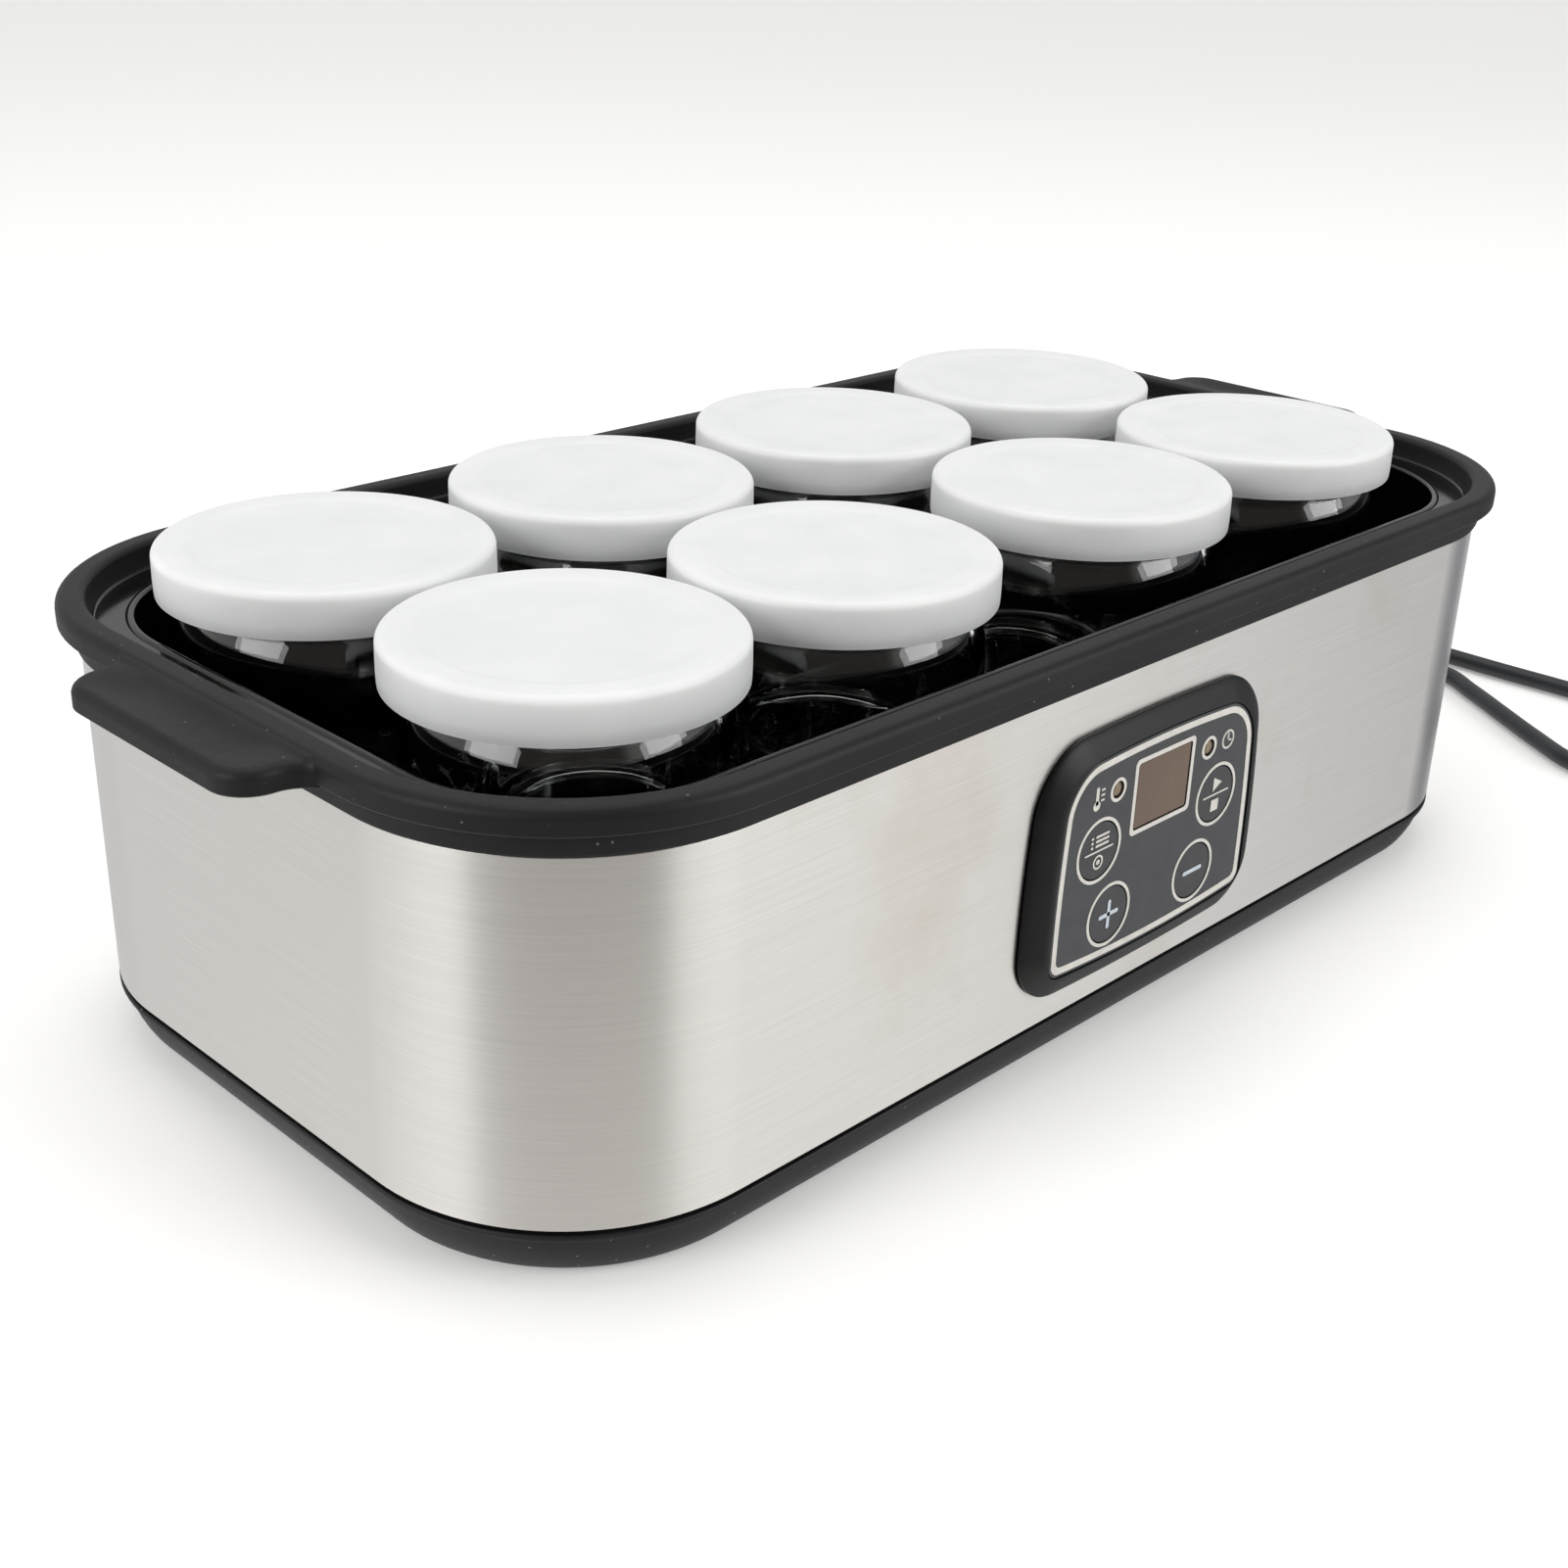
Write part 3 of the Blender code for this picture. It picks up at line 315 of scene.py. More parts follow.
CORD_PVC = make_soft_finish("satin_black_pvc", "#1D1F23", "#262A2F", 0.45, 0.9, 0.02, IOR=1.52)
FOOT_RUBBER = make_soft_finish("black_foot_rubber", "#1A1A1A", "#232323", 0.8, 0.7, 0.04)
ZINC = make_soft_finish("bright_zinc_plating", "#B9BABD", "#D2D2D4", 0.28, 0.5, 0.005, Metallic=1.0)
NICKEL = make_soft_finish("nickel_plated_brass", "#C9C5BB", "#DDD9CF", 0.2, 0.6, 0.003, Metallic=1.0)
ALUMINIUM = make_soft_finish("rolled_aluminium", "#C4C5C8", "#D6D7D9", 0.35, 0.6, 0.006, Metallic=1.0)
BOARD_GREEN = make_soft_finish("green_solder_mask", "#1C4A30", "#255A3B", 0.35, 0.8, 0.01)
SILICONE = make_soft_finish("red_brown_silicone", "#8C3A2A", "#9C4634", 0.6, 1.0, 0.03)
CERAMIC = make_soft_finish("white_steatite", "#D8D4CA", "#E6E2D8", 0.55, 1.0, 0.02)
print("materials made:", len(bpy.data.materials))

# %% [markdown]
# ## How the pieces are shaped
# A moulding's edge is a chain of small insets: its top and bottom faces are inset and lifted step by step. Turned
# pieces start from a disc and are extruded and scaled instead.

# %% Selecting, insetting and turning
def pick(obj, wanted, kind="FACE"):
    """In edit mode, select just the faces, or the points for VERT, that wanted accepts."""
    bpy.context.view_layer.objects.active = obj
    bpy.ops.object.mode_set(mode="EDIT")
    bpy.ops.mesh.select_mode(type=kind)
    bpy.ops.mesh.select_all(action="DESELECT")
    bpy.ops.object.mode_set(mode="OBJECT")
    for item in obj.data.polygons if kind == "FACE" else obj.data.vertices:
        item.select = wanted(item)
    bpy.ops.object.mode_set(mode="EDIT")


def pick_cap(obj, facing):
    """Select the flat end face, the highest that faces up for 1 and the lowest that faces down for -1."""
    end = max(facing * face.center.z for face in obj.data.polygons if facing * face.normal.z > 0.9)
    pick(obj, lambda f: facing * f.center.z > end - 1e-6 and facing * f.normal.z > 0.9)


def carry(obj, facing, start, steps):
    """Inset and lift an end face from start through steps; each is (inset, height)."""
    pick_cap(obj, facing)
    inset, height = start
    for next_inset, next_height in steps:
        bpy.ops.mesh.inset(
            thickness=(next_inset - inset) * MM, depth=facing * (next_height - height) * MM, use_even_offset=True
        )
        inset, height = next_inset, next_height
    bpy.ops.object.mode_set(mode="OBJECT")


def turn_up(obj, facing, start, steps):
    """Extrude and scale an end face from start through steps; each is (radius, height)."""
    pick_cap(obj, facing)
    radius, height = start
    for next_radius, next_height in steps:
        share = next_radius / radius
        bpy.ops.mesh.extrude_region_move(TRANSFORM_OT_translate={"value": (0, 0, (next_height - height) * MM)})
        bpy.ops.transform.resize(value=(share, share, 1), center_override=(0, 0, 0))
        radius, height = next_radius, next_height
    bpy.ops.object.mode_set(mode="OBJECT")


def thicken(thickness):
    """In edit mode, extrude everything upwards and face it outwards, then go back to object mode."""
    bpy.ops.mesh.select_all(action="SELECT")
    bpy.ops.mesh.extrude_region_move(TRANSFORM_OT_translate={"value": (0, 0, thickness * MM)})
    bpy.ops.mesh.select_all(action="SELECT")
    bpy.ops.mesh.normals_make_consistent(inside=False)
    bpy.ops.object.mode_set(mode="OBJECT")


def quarter(middle, size, start, end, steps):
    """Points on part of an ellipse, for a rounded edge: middle and size are (across, up), angles in degrees."""
    turns = [radians(start + (end - start) * i / steps) for i in range(steps + 1)]
    return [(middle[0] + size[0] * cos(t), middle[1] + size[1] * sin(t)) for t in turns]


def apply_modifier(obj, kind, **settings):
    """Add a modifier, set it and apply it."""
    choose(obj)
    change = obj.modifiers.new(kind.title(), kind)
    for key, value in settings.items():
        setattr(change, key, value)
    bpy.ops.object.modifier_apply(modifier=change.name)


def round_edges(obj, width, segments, sharper_than=30):
    """Round every edge sharper than an angle in degrees; the width is in millimetres."""
    limit = {"limit_method": "ANGLE", "angle_limit": radians(sharper_than)}
    apply_modifier(obj, "BEVEL", width=width * MM, segments=segments, **limit)


def shift(obj, x, y):
    """Move a piece's mesh in plan, in millimetres."""
    obj.data.transform(Matrix.Translation(metres(x, y, 0)))


def cut(obj, tool, operation="DIFFERENCE", **more):
    """Cut, or join, with another mesh, which is then thrown away."""
    apply_modifier(obj, "BOOLEAN", object=tool, operation=operation, solver="EXACT", **more)
    bpy.data.objects.remove(tool, do_unlink=True)


def tidy_mesh(obj, angle=32, weighted=True):
    """Put the place in the mesh, merge doubles, face outwards and smooth up to an angle."""
    choose(obj)
    bpy.ops.object.transform_apply(location=True, rotation=True, scale=True)
    bpy.ops.object.mode_set(mode="EDIT")
    bpy.ops.mesh.select_all(action="SELECT")
    bpy.ops.mesh.remove_doubles(threshold=1e-6)
    bpy.ops.mesh.normals_make_consistent(inside=False)
    bpy.ops.object.mode_set(mode="OBJECT")
    bpy.ops.object.shade_smooth_by_angle(angle=radians(angle))
    if weighted:
        apply_modifier(obj, "WEIGHTED_NORMAL", keep_sharp=True)


def middle_of(node):
    """The middle of a CAD node's box, in millimetres."""
    low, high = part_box(node)
    return (low + high) / (2 * MM)


def settle(obj, body, nodes=(), finishes=()):
    """Give a finished piece its finishes and body, and hide the CAD nodes that it stands for."""
    for finish in finishes:
        obj.data.materials.append(finish)
    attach(obj, body)
    if nodes:
        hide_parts(*nodes)
    print(f"{obj.name}: {len(getattr(obj.data, 'polygons', []))} faces")
    return obj


def copy_to(obj, name, x, y):
    """A copy with its own mesh, moved in plan."""
    twin = obj.copy()
    twin.data = obj.data.copy()
    twin.name = twin.data.name = name
    shift(twin, x, y)
    bpy.context.scene.collection.objects.link(twin)
    return twin


def cylinder(name, radius, depth, middle, sides=40, along_x=False):
    """A closed cylinder of millimetre sizes, upright or along X; its middle is a point in metres."""
    deselect_all()
    tilt = (0, pi / 2 if along_x else 0, 0)
    bpy.ops.mesh.primitive_cylinder_add(
        vertices=sides, radius=radius * MM, depth=depth * MM, location=middle, rotation=tilt
    )
    obj = named(name)
    bpy.ops.object.transform_apply(location=True, rotation=True)
    return obj


def cuboid(name, size, middle):
    """A closed box of millimetre sizes; its middle is a point in metres."""
    deselect_all()
    bpy.ops.mesh.primitive_cube_add(size=1, location=middle)
    obj = named(name)
    obj.scale = metres(*size)
    bpy.ops.object.transform_apply(location=True, scale=True)
    return obj


def new_mesh(name, points, faces):
    """An object from points in metres and faces."""
    mesh = bpy.data.meshes.new(name)
    mesh.from_pydata(points, [], faces)
    obj = bpy.data.objects.new(name, mesh)
    bpy.context.scene.collection.objects.link(obj)
    return obj


# %% [markdown]
# ### The plan outline and a turned blank
# Everything that follows the machine's plan starts from one plane whose corner points are bevelled into arcs.

# %% Blanks
HALF_X, HALF_Y, CORNER = 170.0, 90.0, 48.0
CORNER_SEGMENTS = 28


def plan_blank(name, inset, height, thickness):
    """A slab with the machine's plan, inset from the sleeve's outline, with its bottom at a height."""
    deselect_all()
    bpy.ops.mesh.primitive_plane_add(size=2, location=(0, 0, up(height)))
    obj = named(name)
    obj.scale = metres(HALF_X - inset, HALF_Y - inset, 1000)
    bpy.ops.object.transform_apply(location=True, scale=True)
    bpy.ops.object.mode_set(mode="EDIT")
    bpy.ops.mesh.select_all(action="SELECT")
    bpy.ops.mesh.bevel(offset=(CORNER - inset) * MM, segments=CORNER_SEGMENTS, affect="VERTICES")
    thicken(thickness)
    return obj


def turned_blank(name, radius, height, thickness, sides=96):
    """A disc at the origin, with its bottom at a height."""
    return cylinder(name, radius, thickness, (0, 0, up(height + thickness / 2)), sides)


def plan_inset(x, y):
    """How far a point lies inside the sleeve's outline, in millimetres."""
    across, along = abs(x) / MM - (HALF_X - CORNER), abs(y) / MM - (HALF_Y - CORNER)
    if across > 0 and along > 0:
        return CORNER - hypot(across, along)
    return CORNER - max(across, along)


# %% [markdown]
# ## The mains cord
# A round PVC lead leaves the right-hand end through its strain relief, drops to the surface, makes one open loop
# towards the front and goes round behind the machine, where the rest is wound into a coil of three turns with the
# plug beside it. It is drawn as one line of points: the chosen ones, then the turns, all smoothed.

# %% The cord's line
CORD_DIAMETER, CORD_LIE = 5.2, 2.8
GLAND_END = HALF_X + 24.3
EXIT_HEIGHT = 27.0 + FOOT_DROP
COIL_X, COIL_Y = 128.0, 148.0
PLUG_X, PLUG_Y, PLUG_HIGH = 73.5, COIL_Y - 33.0, 7.3


def chosen_points():
    """The cord's chosen points, from the strain relief to the coil, in millimetres."""
    leaving = [(0, 0, 0), (8, 0, -0.3), (17, 0, -4.5), (28, -1, -15.5)]
    points = [(GLAND_END + x, y, EXIT_HEIGHT + z) for x, y, z in leaving]
    points += [(GLAND_END + 39, -4, CORD_LIE + 1.5), (GLAND_END + 52, -13, CORD_LIE)]
    loop = [(254.5, -30.0), (246.0, -46.0), (236.0, -61.5), (225.5, -78.0), (217.0, -94.0), (217.0, -112.0)]
    loop += [(230.0, -126.0), (248.0, -127.0), (263.0, -115.0), (270.5, -97.0), (272.5, -78.0)]
    back = [(272.2, -62.0), (271.2, -43.0), (270.7, -23.0), (270.5, 0.0), (269.0, 26.0), (263.0, 56.0)]
    back += [(250.0, 86.0), (226.0, 110.0), (196.0, 119.5), (162.0, 119.0), (COIL_X + 24.4, COIL_Y - 29.6)]
    return [Vector(p) for p in points + [(x, y, CORD_LIE) for x, y in loop + back]]


def between(knots, value):
    """Radius and height at an angle, eased between the knots (angle, radius, height)."""
    for (start, r0, z0), (end, r1, z1) in zip(knots, knots[1:]):
        if value <= end:
            t = max(0.0, (value - start) / (end - start))
            t = t * t * (3 - 2 * t)
            return r0 + (r1 - r0) * t, z0 + (z1 - z0) * t
    return knots[-1][1:]


def coil_points():
    """Two turns side by side on the surface, a third on top of them, and the tail to the plug."""
    knots = [(0, 32.6, 2.8), (300, 32.6, 2.8), (360, 27.3, 2.8), (590, 27.3, 2.8), (665, 27.3, 8.1)]
    knots += [(735, 27.4, 8.2), (790, 30.0, 7.5), (900, 30.0, 7.5), (960, 33.0, 8.2), (1095, 33.0, 8.2)]
    points = []
    for angle in range(0, knots[-1][0], 12):
        radius, height = between(knots, angle)
        t = radians(-75 - angle)
        points.append((COIL_X + radius * cos(t), COIL_Y + radius * sin(t), height))
    points += [(COIL_X, PLUG_Y, 8.2), (COIL_X - 8, PLUG_Y, 8.1), (COIL_X - 16, PLUG_Y, 7.7)]
    points += [(COIL_X - 23, PLUG_Y, PLUG_HIGH)]
    return [Vector(p) for p in points]


def smooth_line(points, spacing):
    """Points about one spacing apart on a smooth curve through the given ones."""
    ends = [2 * points[0] - points[1]] + points + [2 * points[-1] - points[-2]]
    line = []
    for before, start, end, after in zip(ends, ends[1:], ends[2:], ends[3:]):
        steps = max(1, round((end - start).length / spacing))
        for i in range(steps):
            t = i / steps
            pull = (end - before) * t + (2 * before - 5 * start + 4 * end - after) * t**2
            pull += (3 * start - before - 3 * end + after) * t**3
            line.append(start + 0.5 * pull)
    return line + [points[-1]]


cord_line = smooth_line(chosen_points() + coil_points(), 4.0)

# %% The cord as a curve
curve = bpy.data.curves.new("mains_cord", "CURVE")
curve.dimensions = "3D"
curve.bevel_depth = CORD_DIAMETER / 2 * MM
curve.bevel_resolution = 5
curve.use_fill_caps = True
spline = curve.splines.new("POLY")
spline.points.add(len(cord_line) - 1)
for point, place in zip(spline.points, cord_line):
    point.co = (*(place * MM), 1.0)
spline.use_smooth = True
cord = bpy.data.objects.new("mains_cord", curve)
bpy.context.scene.collection.objects.link(cord)
settle(cord, "body", ["cord", "cord_coil"], [CORD_PVC])

# %% [markdown]
# ### Strain relief, tie and plug
# The strain relief is a ribbed sleeve that tapers along the cord. A small ring ties the coil. The plug has two
# pins, a waisted grip and a short ribbed tail of its own.

# %% Strain relief
def ribbed_sleeve(name, length, root, tip, ribs, start):
    """A tapered sleeve with grooves, along +X from a point in millimetres."""
    obj = cylinder(name, root, 1.0, metres(0, 0, 0.5))
    steps = []
    pitch = (length - 3.0) / ribs
    for i in range(ribs):
        low = 1.6 + i * pitch
        radius = root + (tip - root) * (i + 0.5) / ribs
        steps += [(radius, low), (radius, low + 0.55 * pitch), (radius - 0.55, low + 0.65 * pitch)]
        steps += [(radius - 0.55, low + 0.9 * pitch)]
    steps += [(tip, length - 1.0), (tip - 0.25, length - 0.3), (tip - 0.6, length)]
    turn_up(obj, 1, (root, 1.0), steps)
    obj.rotation_euler = (0, pi / 2, 0)
    obj.location = metres(*start)
    tidy_mesh(obj)
    return obj


gland = ribbed_sleeve("strain_relief", 24.0, 4.6, 3.5, 6, (HALF_X, 0, EXIT_HEIGHT))
for radius, low, high in ((6.8, 0.3, 2.2), (6.2, -3.2, -1.1), (4.6, -1.4, 0.6)):
    middle = metres(HALF_X + (low + high) / 2, 0, EXIT_HEIGHT)
    flange = cylinder("relief_flange", radius, high - low, middle, along_x=True)
    round_edges(flange, 0.4, 2)
    cut(gland, flange, "UNION")
tidy_mesh(gland)
settle(gland, "body", ["cord_gland"], [CORD_PVC])

# %% Plug and pins
PLUG_LONG = 37.5
plug = cuboid("two_pin_plug", (PLUG_LONG, 33.5, 13.8), metres(PLUG_X, PLUG_Y, PLUG_HIGH))
bpy.ops.object.mode_set(mode="EDIT")
bpy.ops.mesh.subdivide(number_cuts=7)
bpy.ops.object.mode_set(mode="OBJECT")
for point in plug.data.vertices:
    along = (point.co.x / MM - PLUG_X) / (PLUG_LONG / 2)
    waist = 1.0 - 0.2 * max(0.0, along) ** 1.5 - 0.12 * max(0.0, 1 - abs(along - 0.1) / 0.7) ** 2
    point.co.y = (PLUG_Y + (point.co.y / MM - PLUG_Y) * waist) * MM
    flat = 1.0 - 0.22 * max(0.0, along) ** 2
    point.co.z = (PLUG_HIGH + (point.co.z / MM - PLUG_HIGH) * flat) * MM
round_edges(plug, 3.2, 5, 60)
apply_modifier(plug, "SUBSURF", levels=1, render_levels=1)
cut(plug, ribbed_sleeve("plug_tail", 15.0, 4.3, 3.3, 4, (PLUG_X + 17.0, PLUG_Y, PLUG_HIGH)), "UNION")
tidy_mesh(plug, 40)
settle(plug, "body", ["mains_plug"], [CORD_PVC])
for number in (1, 2):
    low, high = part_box(f"plug_pin_{number}")
    pin = cylinder(f"contact_pin_{number}", 1.95, (high.x - low.x) / MM, (low + high) / 2, 32, True)
    round_edges(pin, 1.1, 4)
    tidy_mesh(pin)
    settle(pin, "body", [f"plug_pin_{number}"], [NICKEL])

# %% Tie round the coil
TIE_TURN = radians(35)
deselect_all()
bpy.ops.mesh.primitive_torus_add(
    major_segments=40,
    minor_segments=10,
    major_radius=6.4 * MM,
    minor_radius=0.55 * MM,
    location=metres(COIL_X + 29.9 * cos(TIE_TURN), COIL_Y + 29.9 * sin(TIE_TURN), 5.6),
    rotation=(pi / 2, 0, TIE_TURN),
)
tie = named("coil_tie")
bpy.ops.object.transform_apply(location=True, rotation=True)
for point in tie.data.vertices:
    point.co.z = up(0) - 1.5 * MM + max(0.35 * MM, point.co.z)
tidy_mesh(tie)
settle(tie, "body", (), [CORD_PVC])

# %% [markdown]
# ## The steel sleeve
# One strip of 0.8 mm sheet. It starts as the plan outline, extruded to its height; the two flat ends are deleted
# and a wall is grown inwards. The panel's opening and the cord's hole are cut.

# %% Sleeve
SLEEVE_LOW, SLEEVE_HIGH = 12.0, 88.0
OPENING_WIDE, OPENING_HIGH, OPENING_MIDDLE = 62.2, 44.8, 47.1
sleeve = plan_blank("steel_sleeve", 0.0, SLEEVE_LOW, SLEEVE_HIGH - SLEEVE_LOW)
pick(sleeve, lambda f: abs(f.normal.z) > 0.9)
bpy.ops.mesh.delete(type="FACE")
bpy.ops.object.mode_set(mode="OBJECT")
apply_modifier(sleeve, "SOLIDIFY", thickness=0.8 * MM, offset=-1, use_even_offset=True)
round_edges(sleeve, 0.2, 2, 50)
cut(sleeve, cuboid("panel_opening", (OPENING_WIDE, 10, OPENING_HIGH), (0, -HALF_Y * MM, up(OPENING_MIDDLE))))
cut(sleeve, cylinder("cord_hole", 4.9, 8, metres(HALF_X, 0, EXIT_HEIGHT), along_x=True))
tidy_mesh(sleeve)
settle(sleeve, "body", ["steel_shell"], [STEEL])

# %% [markdown]
# ## The tub
# One moulding makes the flange that hides the steel's top edge, the ledge inside it and the tank. It starts at
# the flange's widest outline. The top face is carried over the flange, down to the ledge and down the tank; the
# bottom face is carried under the flange and round the tank's outside, so the walls are about 2 mm thick.

# %% Flange, ledge and tank
WIDEST = -4.2
TANK_FLOOR = 22.0
tub = plan_blank("tub_moulding", WIDEST, 93.9, 2.6)
upper = quarter((-2.2, 96.5), (-2.0, 2.2), 0, 90, 7)[1:]
upper += [(-1.2, 98.72), (0.2, 98.7)] + quarter((0.4, 97.2), (1.6, 1.5), 90, 12, 5)
upper += [(2.2, 95.2), (2.7, 93.5)] + quarter((3.4, 93.6), (-0.6, -0.6), 20, 90, 3)
upper += [(6.8, 93.0), (9.3, 93.0), (9.6, 93.35), (10.1, 93.5)] + quarter((10.6, 92.8), (0.7, 0.7), 90, 5, 5)
upper += [(11.45, 80.0), (11.9, 50.0), (12.2, 26.0)]
upper += quarter((16.0, 26.0), (-3.8, -4.0), 10, 88, 6) + [(22.0, TANK_FLOOR)]
carry(tub, 1, (WIDEST, 96.5), upper)
lower = [(-3.9, 93.55), (-3.4, 93.4), (-1.3, 93.4), (-1.0, 93.1), (-1.0, 89.0), (-0.7, 88.4), (-0.3, 88.3)]
lower += [(1.4, 88.3), (1.5, 84.0), (3.3, 84.0), (3.4, 90.8), (9.1, 90.8), (9.3, 80.0), (9.9, 26.0)]
lower += [(10.6, 22.5), (12.4, 20.1), (15.0, 19.5)]
carry(tub, -1, (WIDEST, 93.9), lower)
print("tub blank:", len(tub.data.polygons), "faces")

# %% [markdown]
# ### The lug handles
# Each short end carries a lug to lift the tub by: a tongue with a round nose that flares into the flange and
# dips for the fingers. It is a plane whose inner edge is extruded to a flare and whose corners are bevelled. It
# is then thickened, sliced across with bisect, and pressed into the dip by moving its upper points.

# %% Lug
LUG_NOSE, LUG_FLARE, LUG_MEETS, LUG_INNER = 188.4, 177.2, 174.0, 171.2
LUG_HALF, LUG_MIDDLE = 30.8, 3.5
LUG_LOW, LUG_EDGE, LUG_HIGH = 93.2, 97.75, 97.8
DIP_LOW = 94.0


def lug_top(x, y):
    """The lug's top height: dished for the fingers across the middle, full height round its ends and nose."""
    knots = [(171.0, 97.6), (172.6, 98.3), (173.6, 98.4), (174.8, 98.0), (176.5, 97.2), (178.5, 96.75)]
    knots += [(180.5, 96.7), (182.5, 96.95), (184.4, 97.4), (186.2, LUG_EDGE), (189.0, 97.7)]
    height = knots[-1][1]
    for (x0, z0), (x1, z1) in zip(knots, knots[1:]):
        if x0 <= x <= x1:
            height = z0 + (z1 - z0) * (x - x0) / (x1 - x0)
    ends = min(1.0, max(0.0, (abs(y - LUG_MIDDLE) - 17.0) / 12.0))
    ends = ends * ends * (3 - 2 * ends) if x > 174.5 else 0.0
    return height + (LUG_EDGE - height) * ends


def pick_points(obj, x):
    """In edit mode, select just the points at an X in millimetres."""
    pick(obj, lambda v: abs(v.co.x / MM - x) < 0.01, "VERT")


def make_lug():
    """The right-hand lug, made round the X axis and then moved along the Y axis to its middle."""
    deselect_all()
    middle = metres((LUG_NOSE + LUG_FLARE) / 2, 0, LUG_LOW + FOOT_DROP)
    bpy.ops.mesh.primitive_plane_add(size=1, location=middle)
    lug = named("lug_blank")
    lug.scale = metres(LUG_NOSE - LUG_FLARE, 2 * LUG_HALF, 1000)
    bpy.ops.object.transform_apply(location=True, scale=True)
    flare = (LUG_HALF + 3.4) / LUG_HALF
    for start, end, widen in ((LUG_FLARE, LUG_MEETS, flare), (LUG_MEETS, LUG_INNER, 1.0)):
        pick_points(lug, start)
        bpy.ops.mesh.extrude_region_move(TRANSFORM_OT_translate={"value": ((end - start) * MM, 0, 0)})
        bpy.ops.transform.resize(value=(1, widen, 1), center_override=(0, 0, 0))
    for corner_x, offset, segments in ((LUG_NOSE, 8.2, 12), (LUG_FLARE, 2.6, 6)):
        pick_points(lug, corner_x)
        bpy.ops.mesh.bevel(offset=offset * MM, segments=segments, affect="VERTICES")
    bpy.ops.mesh.select_all(action="SELECT")
    bpy.ops.mesh.dissolve_limited(angle_limit=radians(0.5))
    thicken(2.5)
    carry(lug, 1, (0.0, 95.7), quarter((2.1, 95.7), (-2.1, 2.1), 0, 90, 7)[1:])
    carry(lug, -1, (0.0, LUG_LOW), [(0.3, 92.85), (0.9, 92.7)])
    bpy.ops.object.mode_set(mode="EDIT")
    slices = [((LUG_INNER + 0.72 * i) * MM, 0) for i in range(1, 22)]
    slices += [(0, side * y * MM) for y in (14, 17, 19.5, 22, 24.5, 27) for side in (1, -1)]
    for x, y in slices:
        bpy.ops.mesh.select_all(action="SELECT")
        bpy.ops.mesh.bisect(plane_co=(x, y, 0), plane_no=(1, 0, 0) if x else (0, 1, 0))
    bpy.ops.object.mode_set(mode="OBJECT")
    shift(lug, 0, LUG_MIDDLE)
    for v in lug.data.vertices:
        share = max(0.0, (v.co.z / MM - FOOT_DROP - DIP_LOW) / (LUG_HIGH - DIP_LOW))
        v.co.z += share * (lug_top(v.co.x / MM, v.co.y / MM) - LUG_HIGH) * MM
    tidy_mesh(lug, 40, False)
    return lug


lug = make_lug()
other = copy_to(lug, "other_lug", 0, 0)
other.data.transform(Matrix.Rotation(pi, 4, "Z"))
cut(tub, lug, "UNION", use_self=True)
cut(tub, other, "UNION", use_self=True)
tidy_mesh(tub, 36)
RIM_INSIDE, LEDGE_TOP = 2.65, 93.55
TANK_INSIDE, LEDGE_UNDER = 9.95, 92.0
tub.data.materials.append(GRAINED)
tub.data.materials.append(POLISHED)
for face in tub.data.polygons:
    height = face.center.z / MM - FOOT_DROP
    inside = plan_inset(face.center.x, face.center.y)
    polished = height < LEDGE_TOP and (inside > TANK_INSIDE or inside > RIM_INSIDE and height > LEDGE_UNDER)
    face.material_index = int(polished)
settle(tub, "body", ["tub"])

# %% [markdown]
# ## The base pan
# A black tray closes the underside. It is widest at a thin bead right under the steel, tucks in towards the
# surface and stands on four feet. Its lip goes up inside the sleeve.

# %% Base pan
BEAD_LOW, BEAD_HIGH = 9.9, 10.5
base = plan_blank("base_pan_moulding", -0.1, BEAD_LOW, BEAD_HIGH - BEAD_LOW)
lip = [(0.15, 10.9), (1.4, 11.0), (1.4, 20.0), (3.4, 20.0), (4.6, 6.5), (7.4, 3.5), (9.0, 3.5)]
carry(base, 1, (-0.1, BEAD_HIGH), lip)
under = [(0.1, 9.55), (0.75, 9.4), (0.95, 9.2), (1.15, 8.2), (1.6, 6.4), (2.25, 4.6), (3.05, 2.9), (3.9, 1.4)]
under += [(4.6, 0.5), (5.0, 0.12), (5.6, 0.0), (11.6, 0.0), (12.2, 0.3), (13.0, 1.5)]
carry(base, -1, (-0.1, BEAD_LOW), under)
SCREW_X, SCREW_Y = 128, 68
PAD, COUNTERBORE, SCREW_HOLE = (6.0, 1.0, 7.0), (3.5, -1.0, 3.8), (1.8, 3.0, 8.0)
for x, y in ((-SCREW_X, -SCREW_Y), (SCREW_X, -SCREW_Y), (SCREW_X, SCREW_Y), (-SCREW_X, SCREW_Y)):
    for (radius, low, high), how in ((PAD, "UNION"), (COUNTERBORE, "DIFFERENCE"), (SCREW_HOLE, "DIFFERENCE")):
        cut(base, cylinder("pad_tool", radius, high - low, (x * MM, y * MM, up((low + high) / 2)), 32), how)
tidy_mesh(base)
settle(base, "body", ["base_pan"], [GRAINED_DARK])

# %% Feet
for number in range(1, 5):
    middle = middle_of(f"foot_{number}")
    foot = turned_blank(f"rubber_foot_{number}", 7.0, -1.0, 0.5, 48)
    turn_up(foot, 1, (7.0, -0.5), [(7.0, 0.9), (6.8, 1.15)])
    sole = [(6.6, -1.4), (6.2, -1.5), (4.4, -1.5), (4.2, -1.2), (3.0, -1.2), (2.8, -1.5), (1.0, -1.5)]
    turn_up(foot, -1, (7.0, -1.0), sole)
    shift(foot, middle.x, middle.y)
    tidy_mesh(foot)
    settle(foot, "body", [f"foot_{number}"], [FOOT_RUBBER])

